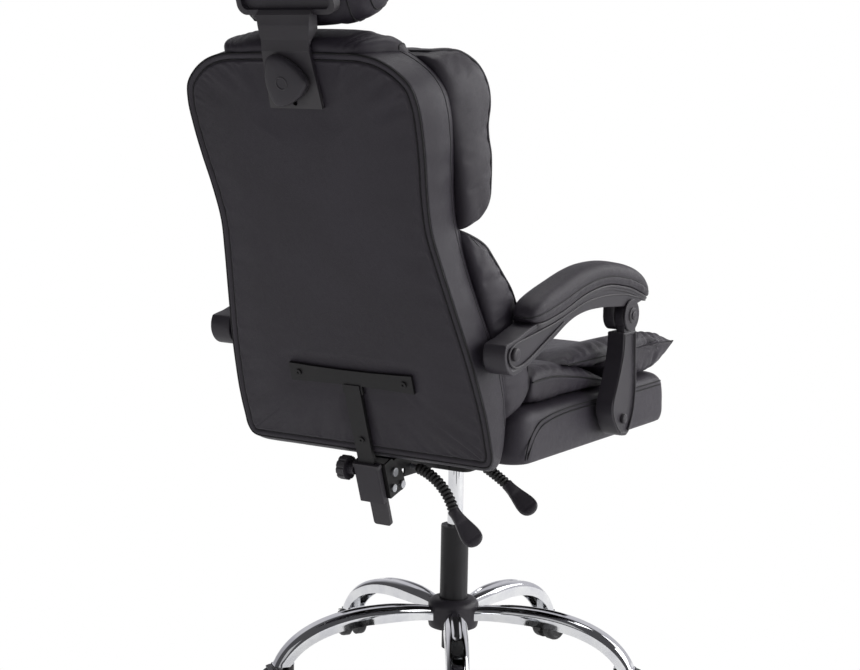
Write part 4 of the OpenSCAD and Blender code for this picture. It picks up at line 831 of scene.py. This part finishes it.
PAD_X, PAD_HALF = 268, 27  # middle of a pad from the middle of the chair, and half its width
ARM_IN, ARM_OUT = 248, 288  # inner and outer face of an arm
JOINT_X = 270  # face of the knuckle at which arm and link meet
ARM_PIN = (306, 660)  # y and z of the pin in the back
LINK_PIN = (-82, 503)  # y and z of the pin in the seat
EYE = (-93, 682.5)  # y and z of the pin between arm and link
PAD = np.array([  # y, underside, top, share of the width
    [254.5, 709.5, 713.5, 0.1], [254, 708.5, 715, 0.24], [252, 707, 717, 0.42], [248, 704, 727, 0.7],
    [238, 702.5, 736, 0.9], [216, 704, 746, 1], [191, 708, 754, 1], [156, 715.5, 763, 1],
    [128, 723, 770, 1], [100, 731, 776, 1],
    [66, 738, 781, 1], [28, 742.5, 783, 1], [-11, 743, 782, 1], [-51, 738, 777, 1],
    [-90, 730.5, 770, 1], [-118, 722, 762, 0.99], [-140, 715, 752, 0.95], [-156, 710.5, 741, 0.83],
    [-170, 708.5, 732, 0.62], [-177, 711, 723, 0.38],
    [-179.2, 713, 720, 0.2], [-179.6, 715, 718.5, 0.08]], float)


def arm_pads():
    """Armrest pads: a rounded section by length, a seam a third of the way up with gathers below it."""
    line = smooth(PAD, 6)
    half = [[0.8, 0], [0.95, 0.04], [1.0, 0.14], [1.0, 0.26], [0.985, 0.33], [0.95, 0.36], [0.985, 0.39],
            [0.99, 0.5], [0.95, 0.66], [0.85, 0.8], [0.66, 0.92], [0.4, 0.98], [0.14, 1.0]]
    run = run_along(line[:, :2])
    gather = wander(run, 17, 51) + 0.5 * wander(run, 8, 52)
    for side, name in ((1, "left"), (-1, "right")):
        rows, seam = [], [[], []]
        for k, (y, low, high, share) in enumerate(line):
            ring, half_w = [], PAD_HALF * share
            front = 0.35 + 0.65 * ease(-y, 20, 110)
            for a, h in half + [[-a, h] for a, h in half[::-1]]:
                push = 1.3 * gather[k] * front * math.exp(-((h - 0.24) / 0.13) ** 2)
                wide = half_w * a + math.copysign(push if abs(a) > 0.9 else 0, a)
                ring.append([side * (PAD_X + wide), y, low + (high - low) * h])
            rows.append(ring)
            for j, s in enumerate((-1, 1)):
                seam[j].append([side * (PAD_X + s * (half_w * 0.955 + 0.1)), y, low + (high - low) * 0.36])
        grid = smooth(np.array(rows), 5, 1, closed=True, sharp=[5, 20])
        obj = skin(f"arm_pad_cover_{name}", grid, PADS, f"arm_{name}", f"arm_pad_{name}", 80)
        refine(obj)
        # dark lines along the pad seams: thread colour and painted shade of the seam grooves
        tubes(f"arm_pad_seams_{name}", [np.array(q) for q in seam], 1.1, THREAD_AND_SEAM_SHADE, f"arm_{name}")


arm_pads()


ROUNDING = 2.2  # of the edges of arms and links


def slab(name, at, low, high, faces, place, body, stands_for=(), border=None, count=44):
    """A plate with rounded edges, from slices: low and high by slice, inner and outer face across the chair.
    place is the slices' axis, the stretch over which the floor inside the border sets in, and the side."""
    axis, fade, side = place
    v = 0.5 - 0.5 * np.cos(np.linspace(0, np.pi, count))
    u = np.repeat(at[:, None], count, 1)
    h = low[:, None] + (high - low)[:, None] * v[None]
    edge = np.concatenate([np.stack([at, low], -1), np.stack([at, high], -1)[::-1]])
    way = np.roll(edge, -1, 0) - edge
    size = (way**2).sum(1) + 1e-9
    far = []
    for p, q in zip(u, h):
        to = np.stack([p, q], -1)[:, None] - edge[None]
        t = np.clip((to * way).sum(2) / size, 0, 1)
        far.append(np.linalg.norm(to - t[..., None] * way, axis=2).min(1))
    far = np.array(far)
    d = np.clip(ROUNDING - far, 0, ROUNDING)
    cut = ROUNDING - np.sqrt(np.maximum(0, ROUNDING**2 - d * d))
    floor = 0
    if border and fade:
        floor = 1.5 * ease(far, border, border + 1.4) * ease(u, *fade)
    elif border:
        floor = 2.6 * ease(far, border, border + 1.2)
    outer, inner = faces[1] - cut - floor, faces[0] + cut
    both = [np.concatenate([p, q[:, ::-1]], 1) for p, q in ((outer, inner), (u, u), (h, h))]
    order = (0, 1, 2) if axis == "y" else (0, 2, 1)
    return skin(name, np.stack([both[k] for k in order], -1) * [side, 1, 1], PLASTIC, body, stands_for,
                55)


def round_slab(name, middle, radius, faces, side, body):
    """A disc as a slab: slices up the chair, closer together at the top and the foot."""
    share = np.sin(np.linspace(-1, 1, 60) * 1.5) / math.sin(1.5)
    rise = share * (radius - 0.2)
    half = np.sqrt(radius**2 - rise**2)
    slab(name, middle[1] + rise, middle[0] - half, middle[0] + half, faces, ("z", None, side), body, count=30)


def wheel_rings(pin, steps, side, turn):
    """Rings round a pin across the chair: radius and place across the chair by step."""
    return np.array([np.stack([np.full(len(turn), side * x), pin[0] + r * np.cos(turn),
                               pin[1] + r * np.sin(turn)], -1) for r, x in steps])


def caps(name, pin, steps, body, stands_for=()):
    """A turned cap at both sides of the chair, from its shaft out."""
    turn = circle(40)
    points, faces = [], []
    for side in (-1, 1):
        start = sum(len(q) for q in points)
        points.append(wheel_rings(pin, steps, side, turn).reshape(-1, 3))
        faces += quads(len(steps), len(turn), start)
        faces += lids(start, start + (len(steps) - 1) * len(turn), len(turn))
    return piece(name, np.concatenate(points), faces, PLASTIC, body, stands_for, 50)


def arms():
    """Arm, rim under the pad, knuckle, link and pivot caps: outlines and raised lines by height."""
    pin_y, pin_z = ARM_PIN
    end_r = 33  # of the arm round its pin
    angle = np.radians(np.linspace(84, 4, 22))
    at = np.concatenate([pin_y + end_r * np.sin(angle), np.linspace(pin_y, -150, 250)])
    under = np.array([[-150, 707], [-145, 705.5], [-118, 700], [-66, 700], [-40, 702], [23, 706], [80, 704],
                      [110, 699], [135, 691.5], [177, 673.5], [219, 655.5], [252, 641.5], [275, 634],
                      [290, 630], [pin_y, pin_z - end_r]])
    over = np.array([[-150, 712], [-146, 713.4], [-140, 714.7], [-118, 721.7], [-90, 730.2], [-51, 737.7],
                     [-11, 742.7], [28, 742.2], [66, 737.7], [100, 730.7], [128, 722.7], [156, 715.2],
                     [191, 707.7], [216, 703.7], [238, 702.2], [262, 696], [306, 683], [325, 679.5],
                     [340, 676]])
    round_end = np.sqrt(np.maximum(0, end_r**2 - (at - pin_y) ** 2))
    low = np.where(at > pin_y, pin_z - round_end, np.interp(at, *smooth(under, 5).T))
    high = np.interp(at, *over.T)
    high = np.where(at > pin_y, np.minimum(high, pin_z + round_end), high)
    border = [[-138, 709], [-122, 711.5], [-69, 721], [-26, 724], [24, 724.5], [83, 719], [118, 711],
              [174, 698], [229, 688.5], [272, 682], [307, 676], [319, 671], [327, 661], [322, 648],
              [308, 640], [290, 640], [262, 648], [225, 663], [180, 682], [150, 695]]
    front_bead = [[-116.5, 651], [-117, 630], [-119, 600], [-121, 575], [-122, 546], [-118.4, 520],
                  [-113.5, 503], [-108, 492], [-100, 480.5]]
    rear_bead = [[-75.5, 651], [-75.5, 640], [-73.5, 619], [-64.5, 592], [-50.5, 559], [-39.5, 533],
                 [-39.5, 519.5], [-45, 507], [-55, 493.5], [-71, 480]]
    link_z = np.concatenate([471.6 + np.array([0, 0.5, 1.4, 2.8, 4.6, 7]), np.linspace(481, 654, 110)])
    rear = smooth([[471.6, -90], [476, -68], [490, -52], [505, -41.5], [518, -36], [531, -35.5], [557, -47],
                   [590, -61], [618, -70], [640, -72], [655, -72]], 4)
    front = smooth([[471.6, -94], [476, -103], [483, -110], [500, -116.5], [519, -122], [545, -126],
                    [575, -124.5], [598, -122.5], [630, -120.5], [655, -120]], 4)
    rim = np.array([[291.4, -0.2], [292.3, -1.0], [292.5, -2.4], [292.3, -4.0], [291.4, -4.8], [290.4, -5.2],
                    [290.1, -6.2], [290.1, -8.2], [289.4, -9.3], [287.5, -9.6]]) - [PAD_X, 0]
    rim = np.concatenate([rim, rim[::-1] * [-1, 1]])
    tray = smooth(np.array([[y, z] for y, z in over if -141 < y < 239] + [[240.5, 702]])[::-1], 6)
    tray = np.concatenate([tray, [[-150, 711.6], [-157, 709.4]]])
    eye_y, eye_z, eye_r = *EYE, 26
    knuckle = np.linspace(0.1 - eye_r, eye_r - 0.1, 40)
    boss = ((14, 290), (14, 293.2), (13.4, 294.4), (12, 295), (8.4, 295.1), (7.8, 295.2), (7.6, 296.6),
            (6.4, 297.4), (3, 297.8))
    neck = np.linspace(651, 668, 14)
    for side, word in ((1, "left"), (-1, "right")):
        arm, link = f"arm_{word}", f"link_{word}"
        slab(f"arm_beam_{word}", at, low, high, (ARM_IN, ARM_OUT), ("y", (120, 200), side), arm,
             f"arm_frame_{word}", 7.0)
        slab(f"arm_knuckle_{word}", eye_y + knuckle, eye_z - 0.5 - np.sqrt(eye_r**2 - knuckle**2),
             704 + 0 * knuckle, (ARM_IN, JOINT_X), ("y", None, side), arm, count=24)
        rows = []
        for k, (y, z) in enumerate(tray):
            ring = rim * min(1, 0.82 + 0.18 * min(k, len(tray) - 1 - k) / 2)
            rows.append(np.stack([side * (PAD_X + ring[:, 0]), np.full(len(ring), y), z + ring[:, 1]], -1))
        skin(f"arm_rim_{word}", np.array(rows), PLASTIC, arm, angle=70)
        slab(f"link_body_{word}", link_z, np.interp(link_z, *front.T), np.interp(link_z, *rear.T),
             (256, ARM_OUT), ("z", None, side), link, f"arm_link_{word}", 5.0, 90)
        round_slab(f"link_eye_{word}", EYE, eye_r, (JOINT_X + 0.6, ARM_OUT), side, link)
        slab(f"link_neck_{word}", neck, -118.5 + 0 * neck, -75 + 0 * neck, (JOINT_X + 0.6, ARM_OUT - 0.4),
             ("z", None, side), link, count=16)
        for name, lines, raised, radius, body in (("arm_beads", [border], 0.2, 1.7, arm),
                                                  ("link_beads", [front_bead, rear_bead], 0.3, 1.8, link)):
            paths = [[[side * (ARM_OUT + raised), y, z] for y, z in smooth(line, 3)] for line in lines]
            tubes(f"{name}_{word}", paths, radius, PLASTIC, body)
        face = eye_y, eye_z + 0.5
        round_slab(f"link_disc_{word}", face, 28, (ARM_OUT + 0.3, ARM_OUT + 4.6), side, link)
        skin(f"link_boss_{word}", wheel_rings(face, boss, side, circle(40)), PLASTIC, link,
             angle=50)
    caps("arm_pivot_caps", ARM_PIN, [[6, 214], [6, 287], [10.5, 287.4], [10.5, 290.2], [10.1, 291.4],
                                     [9, 292.3], [6, 293.1], [2, 293.5]], "back", "arm_bolts")
    caps("link_pivot_caps", LINK_PIN, [[6, 222], [6, 286], [8.5, 286.6], [8.5, 289.6], [8.1, 290.8],
                                       [7, 291.6], [4.6, 292.2], [1.6, 292.5]], "seat", "link_bolts")


arms()


# Clamp knob of the headrest

def clamp_knob():
    """Three-cornered knob: where three discs overlap, with soft corners and a domed face."""
    tips = np.array([[23, 49], [-40, 4], [25, -33]], float)
    disc_r, height, turn = 75, 640, circle(120)
    middle = tips.mean(0)
    way = np.stack([np.cos(turn), np.sin(turn)], -1)
    reach = []
    for p, q in zip(tips, np.roll(tips, -1, 0)):
        d = q - p
        length = np.hypot(*d)
        centre = (p + q) / 2 + np.array([-d[1], d[0]]) / length * math.sqrt(disc_r**2 - length**2 / 4)
        off = middle - centre
        b = way @ off
        reach.append(-b + np.sqrt(b * b - off @ off + disc_r**2))
    reach = np.min(reach, 0)
    for _ in range(9):
        reach = (np.roll(reach, 1) + 2 * reach + np.roll(reach, -1)) / 4
    rows = []
    for share, n in ((0.9, -11.4), (0.98, -11.6), (1, -12.6), (1, -20.6), (0.985, -22.6), (0.95, -24.2),
                     (0.88, -25.4), (0.74, -26.4), (0.5, -27.2), (0.25, -27.5)):
        flat = middle + way * (reach * share)[:, None]
        rows.append(np.stack([flat[:, 0], height + flat[:, 1], np.full(len(turn), n)], -1))
    skin("knob_face", lean_back(np.array(rows)), PLASTIC, "clamp_knob", "headrest_knob", 60)
    ring = hoop(9.5, -27.5, turn) + [middle[0], height + middle[1], 0]
    tubes("knob_ring", [lean_back(ring)], 1.2, PLASTIC, "clamp_knob", closed=True)


clamp_knob()


# Levers

def lever(name, start, head, sweep, length, first, paddle_head, roll):
    """Ribbed sleeve on an arc in a plane across the chair, and a leaf-shaped paddle at its end."""
    bend = math.radians(sweep - head) / length
    radius = 1 / bend
    rearwards = np.array([0, 1.0, 0])

    def at(s):
        a = math.radians(head) + bend * np.asarray(s, float)
        point = np.stack([start[0] - radius * (np.sin(a) - math.sin(math.radians(head))), start[1] + 0 * a,
                          start[2] + radius * (np.cos(a) - math.cos(math.radians(head)))], -1)
        return point, np.stack([-np.sin(a), 0 * a, np.cos(a)], -1)

    bore, valley, rib_h, pitch = 4.5, 7.7, 2.3, 6.8
    ribbed = length - 10 - first
    s = np.arange(first, length - 6, 0.45)
    ribs = round(ribbed / pitch)
    phase = (s - first - 2) / ribbed * ribs
    inside = (phase > 0) & (phase < ribs)
    size = valley + np.where(inside, rib_h * (0.5 - 0.5 * np.cos(2 * np.pi * phase)) ** 0.55, 0)
    p, up = at(s)
    spoke = spokes(circle(32), up, rearwards)
    grid = np.concatenate([p[:, None] + size[:, None, None] * spoke, (p[:, None] + bore * spoke)[::-1][::8]])
    rows, columns = grid.shape[:2]
    faces = quads(rows, columns) + bridge(0, (rows - 1) * columns, columns)
    piece(f"{name}_sleeve_ribs", grid.reshape(-1, 3), faces, RUBBER, f"{name}_lever", f"{name}_sleeve",
          80)

    a, r = math.radians(paddle_head), math.radians(roll)
    ahead = np.array([-math.cos(a), 0, -math.sin(a)])
    up = np.array([-math.sin(a), 0, math.cos(a)])
    thick = math.cos(r) * up + math.sin(r) * rearwards
    wide = -math.sin(r) * up + math.cos(r) * rearwards
    base = at(length - 5)[0]
    back = 11 * abs(math.sin(math.radians(head + (sweep - head) * (length - 5) / length - paddle_head)))
    line = smooth([[-0.8 - 0.6 * back, 8.6, 8.6], [-0.6 * back, 9.6, 9.4], [6, 10, 9.4], [14, 10.4, 8],
                   [24, 12.4, 6.6], [36, 15.4, 6.2], [47, 17.6, 6.0], [55, 17.8, 5.8], [61, 16.3, 5.4],
                   [66, 12.4, 4.6], [69, 7.2, 3.4], [70.2, 2.2, 2]], 1.6)
    c, sn = np.cos(circle(40)), np.sin(circle(40))
    rows = []
    for s_at, w, t in line:
        square = 0.55 + 0.45 * (1 - ease(s_at, 4, 18))
        ww, tt = w * np.sign(c) * np.abs(c) ** square, t * np.sign(sn) * np.abs(sn) ** square
        dish = 0.9 * ease(s_at, 18, 26) * (1 - ease(s_at, 56, 62)) * (1 - ease(np.abs(ww), w - 5, w - 2.5))
        tt = np.where(tt > 0, tt - dish, tt)
        rows.append(base + s_at * ahead + ww[:, None] * wide + tt[:, None] * thick)
    skin(f"{name}_paddle_leaf", np.array(rows), PLASTIC, f"{name}_lever", f"{name}_paddle",
         70)


lever("height", (-73.5, 40, 416), 24, 34, 66, 10, 38, 40)
lever("recline", (-25.1, 190, 432), 4, 74, 121, 14, 47, 40)


# Star base

def star():
    """Five pressed legs on a hub: an arched section swept on a cubic, with a stamped groove on top."""
    curve = np.array([[14, 136], [140, 164], [300, 150], [336, 50]], float)  # distance from the axis, z
    depths = np.array([[0, 0.84], [0.1, 0.88], [0.2, 0.94], [0.33, 1], [0.5, 0.96], [1, 0.83]])
    legs, first_leg = 5, 33.3
    half_w, deep, corner_r, wall = 21.5, 27, 12, 2.6
    t = np.linspace(0, 1, 72)[:, None]
    mid = ((1 - t) ** 3 * curve[0] + 3 * t * (1 - t) ** 2 * curve[1] + 3 * t * t * (1 - t) * curve[2]
           + t**3 * curve[3])
    steps = np.diff(curve, axis=0)
    way = (1 - t) ** 2 * steps[0] + 2 * t * (1 - t) * steps[1] + t * t * steps[2]
    way /= np.linalg.norm(way, axis=1, keepdims=True)
    run = run_along(mid)
    stop = run[np.searchsorted(mid[:, 0], 196)]

    def outline(k, inset):
        a = (half_w - 2.5 * float(t[k, 0])) * (0.64 + 0.36 * float(ease(run[k], 25, 115))) - inset
        d = deep * np.interp(t[k, 0], *depths.T) - inset
        r = corner_r - inset
        arc = np.radians(np.linspace(180, 90, 9))
        foot = [[-a, -d], [-a, -d + (d - r) / 3], [-a, -d + (d - r) / 1.5]]
        left = np.array(foot + [[-a + r + r * math.cos(q), min(0, -r + r * math.sin(q))] for q in arc])
        x = np.linspace(-a + r, a - r, 13)[1:-1]
        dist = np.hypot(x, max(0, run[k] - stop))
        sunk = 2.2 * (1 - ease(dist, 4.5, 8.5)) * ease(run[k], 30, 46)
        top = np.stack([x, -sunk], -1)
        right = left[::-1] * [-1, 1]
        return np.concatenate([left, top, right])

    rings = []
    for k in range(len(t)):
        both = np.concatenate([outline(k, 0), outline(k, wall)[::-1] - [0, wall]])
        x, v = both[:, 0], both[:, 1]
        rings.append(np.stack([x, mid[k, 0] - way[k, 1] * v, np.maximum(57, mid[k, 1] + way[k, 0] * v)], -1))
    leg = np.array(rings)[3:]
    points, faces = [], []
    rows, columns = leg.shape[:2]
    for k in range(legs):
        a = math.radians(first_leg + 360 / legs * k)
        turned_leg = np.stack([leg[..., 0] * math.cos(a) - leg[..., 1] * math.sin(a),
                               leg[..., 0] * math.sin(a) + leg[..., 1] * math.cos(a), leg[..., 2]], -1)
        start = k * rows * columns
        points.append(turned_leg.reshape(-1, 3))
        faces += quads(rows, columns, start)
        half = columns // 2
        for base in (start, start + (rows - 1) * columns):
            faces += [[base + j, base + j + 1, base + columns - 2 - j, base + columns - 1 - j]
                      for j in range(half - 1)]
    hub = [[36, 101.5], [36, 149.5], [35.5, 150], [25.1, 150], [25.1, 101], [35.5, 101]]
    turn = circle(72)
    start = legs * rows * columns
    points += [hoop(r, z, turn) for r, z in hub]
    faces += quads(len(hub), len(turn), start)
    faces += bridge(start, start + (len(hub) - 1) * len(turn), len(turn))
    piece("star_legs", np.concatenate(points), faces, CHROME, "base", "base_star", 50)


def hub_cup():
    """Moulded cup round the hub, turned, with rounded shoulder and foot; the legs pass through its wall."""
    turn = circle(96)
    outside = smooth([[25.4, 154.5], [31, 155.2], [38, 153.4], [43, 149.5], [45.3, 144.5], [45.4, 138],
                      [45, 124], [44.4, 106], [43.4, 103], [42.2, 103.2]], 1.5).tolist()
    inside = [[42, 140], [36, 151], [25.4, 151.5]]
    grid = np.array([hoop(r, z, turn) for r, z in outside + inside])
    rows, columns = grid.shape[:2]
    faces = quads(rows, columns) + bridge(0, (rows - 1) * columns, columns)
    piece("hub_cup", grid.reshape(-1, 3), faces, PLASTIC, "base", "hub_cover", 50)


star()
hub_cup()


# Carried-over nodes: material of their slot, flats joined and edges rounded

def dress_nodes():
    """Nodes that no piece replaces; the boards keep their sharp edges."""
    slots = {part["node"]: part["material_slot"] for part in frame["record"]["subparts"]}
    edges = {"headrest_carrier": 1.6, "bar_sleeve": 1.2, "back_bar": 0.8, "back_bracket": 0.7,
             "recline_channel": 0.6, "mechanism_tub": 0.8, "side_knob": 0.8, "gas_tube": 0.6,
             "seat_board": 0, "back_board": 0}
    for name, obj in frame["nodes"].items():
        material = TUBE if name == "gas_tube" else SLOTS[slots[name]]
        if len(obj.material_slots) == 0:
            obj.data.materials.append(material)
        for slot in obj.material_slots:
            slot.link = "OBJECT"
            slot.material = material
        width = edges.get(name, 0.35)
        if width:
            flats = obj.modifiers.new("flats", "DECIMATE")
            flats.decimate_type = "DISSOLVE"
            flats.angle_limit = math.radians(1.0)
            bevel = obj.modifiers.new("rounded", "BEVEL")
            bevel.width = width * MM
            bevel.segments = 3
            bevel.limit_method = "ANGLE"
            bevel.angle_limit = math.radians(35)
            bevel.harden_normals = True


dress_nodes()


# Studio

def area(name, place, aim, size, power):
    """Rectangular lamp at a place, aimed at a point; metres and watts."""
    data = bpy.data.lights.new(name, "AREA")
    data.shape, data.size, data.size_y, data.energy = "RECTANGLE", size[0], size[1], power
    obj = bpy.data.objects.new(name, data)
    bpy.context.scene.collection.objects.link(obj)
    back = np.array(place, float) - np.array(aim, float)
    back /= np.linalg.norm(back)
    side = np.cross([0, 0, 1.0], back)
    side /= np.linalg.norm(side)
    matrix = np.eye(4)
    matrix[:3, 0], matrix[:3, 1], matrix[:3, 2], matrix[:3, 3] = side, np.cross(back, side), back, place
    obj.matrix_world = Matrix(matrix.tolist())


def studio_floor():
    """Pale floor, white to the camera and at half strength in reflections."""
    floor = Shader("studio_floor")
    path = floor.add("LightPath")
    seen = floor.add("Math", {0: path.outputs["Is Camera Ray"], 1: path.outputs["Is Transmission Ray"]},
                     operation="MAXIMUM").outputs[0]
    shine = floor.add("Math", {0: path.outputs["Is Glossy Ray"], 1: 0.55}, operation="MULTIPLY").outputs[0]
    seen = floor.add("Math", {0: seen, 1: shine}, operation="MAXIMUM").outputs[0]
    matt = floor.add("BsdfPrincipled", {"Base Color": (0.86, 0.86, 0.86, 1), "Roughness": 0.7}).outputs[0]
    glow = floor.add("Emission", {"Color": (1, 1, 1, 1), "Strength": 1.0}).outputs[0]
    mixed = floor.add("MixShader", {0: seen, 1: matt, 2: glow}).outputs[0]
    floor.add("OutputMaterial", {0: mixed})
    half, z = 12, -0.0005
    mesh = bpy.data.meshes.new("floor")
    mesh.from_pydata([(-half, -half, z), (half, -half, z), (half, half, z), (-half, half, z)], [],
                     [(0, 1, 2, 3)])
    mesh.materials.append(floor.material)
    obj = bpy.data.objects.new("floor", mesh)
    bpy.context.scene.collection.objects.link(obj)


def studio_world():
    """Surround: white to the camera; in reflections it is dim but for a low band in front of the chair."""
    world = bpy.data.worlds.new("studio")
    bpy.context.scene.world = world
    world.use_nodes = True
    tree = world.node_tree
    tree.nodes.clear()
    path = tree.nodes.new("ShaderNodeLightPath")
    dim, band = 0.085, 0.55
    shade = {}
    for name, colour, strength in (("matt", (0.96, 0.94, 1.0, 1), 0.42), ("gloss", (0.95, 0.94, 1.0, 1), dim),
                                   ("seen", (1, 1, 1, 1), 1.0)):
        shade[name] = tree.nodes.new("ShaderNodeBackground")
        shade[name].inputs[0].default_value, shade[name].inputs[1].default_value = colour, strength
    first, second = tree.nodes.new("ShaderNodeMixShader"), tree.nodes.new("ShaderNodeMixShader")
    out = tree.nodes.new("ShaderNodeOutputWorld")
    tree.links.new(path.outputs["Is Glossy Ray"], first.inputs[0])
    tree.links.new(shade["matt"].outputs[0], first.inputs[1])
    tree.links.new(shade["gloss"].outputs[0], first.inputs[2])
    tree.links.new(path.outputs["Is Camera Ray"], second.inputs[0])
    tree.links.new(first.outputs[0], second.inputs[1])
    tree.links.new(shade["seen"].outputs[0], second.inputs[2])
    way = tree.nodes.new("ShaderNodeSeparateXYZ")
    tree.links.new(tree.nodes.new("ShaderNodeTexCoord").outputs["Object"], way.inputs[0])
    spans = []
    for axis, start, end, low, high in ((1, 0.0, -0.5, 0.0, band), (2, 0.35, 0.7, 1.0, 0.0)):
        span = tree.nodes.new("ShaderNodeMapRange")
        span.interpolation_type = "SMOOTHSTEP"
        tree.links.new(way.outputs[axis], span.inputs["Value"])
        for key, value in zip(("From Min", "From Max", "To Min", "To Max"), (start, end, low, high)):
            span.inputs[key].default_value = value
        spans.append(span.outputs["Result"])
    rise = tree.nodes.new("ShaderNodeMath")
    rise.operation = "MULTIPLY_ADD"
    tree.links.new(spans[0], rise.inputs[0])
    tree.links.new(spans[1], rise.inputs[1])
    rise.inputs[2].default_value = dim
    tree.links.new(rise.outputs[0], shade["gloss"].inputs[1])
    tree.links.new(second.outputs[0], out.inputs[0])


def studio():
    """Floor and surround, with soft boxes above, at the sitter's right, behind and in front."""
    studio_floor()
    studio_world()
    area("top_box", (0.0, -0.6, 3.4), (0, -0.1, 0.6), (2.2, 2.0), 42)
    area("right_box", (-3.3, -0.9, 1.5), (0, 0, 0.75), (2.2, 2.6), 71)
    area("rear_box", (-0.2, 4.2, 1.9), (0, 0.2, 0.8), (2.6, 2.0), 7)
    area("front_box", (-2.0, -3.4, 2.2), (0, 0, 0.7), (2.2, 2.0), 50)
    bpy.context.scene.view_settings.view_transform = "Standard"


studio()
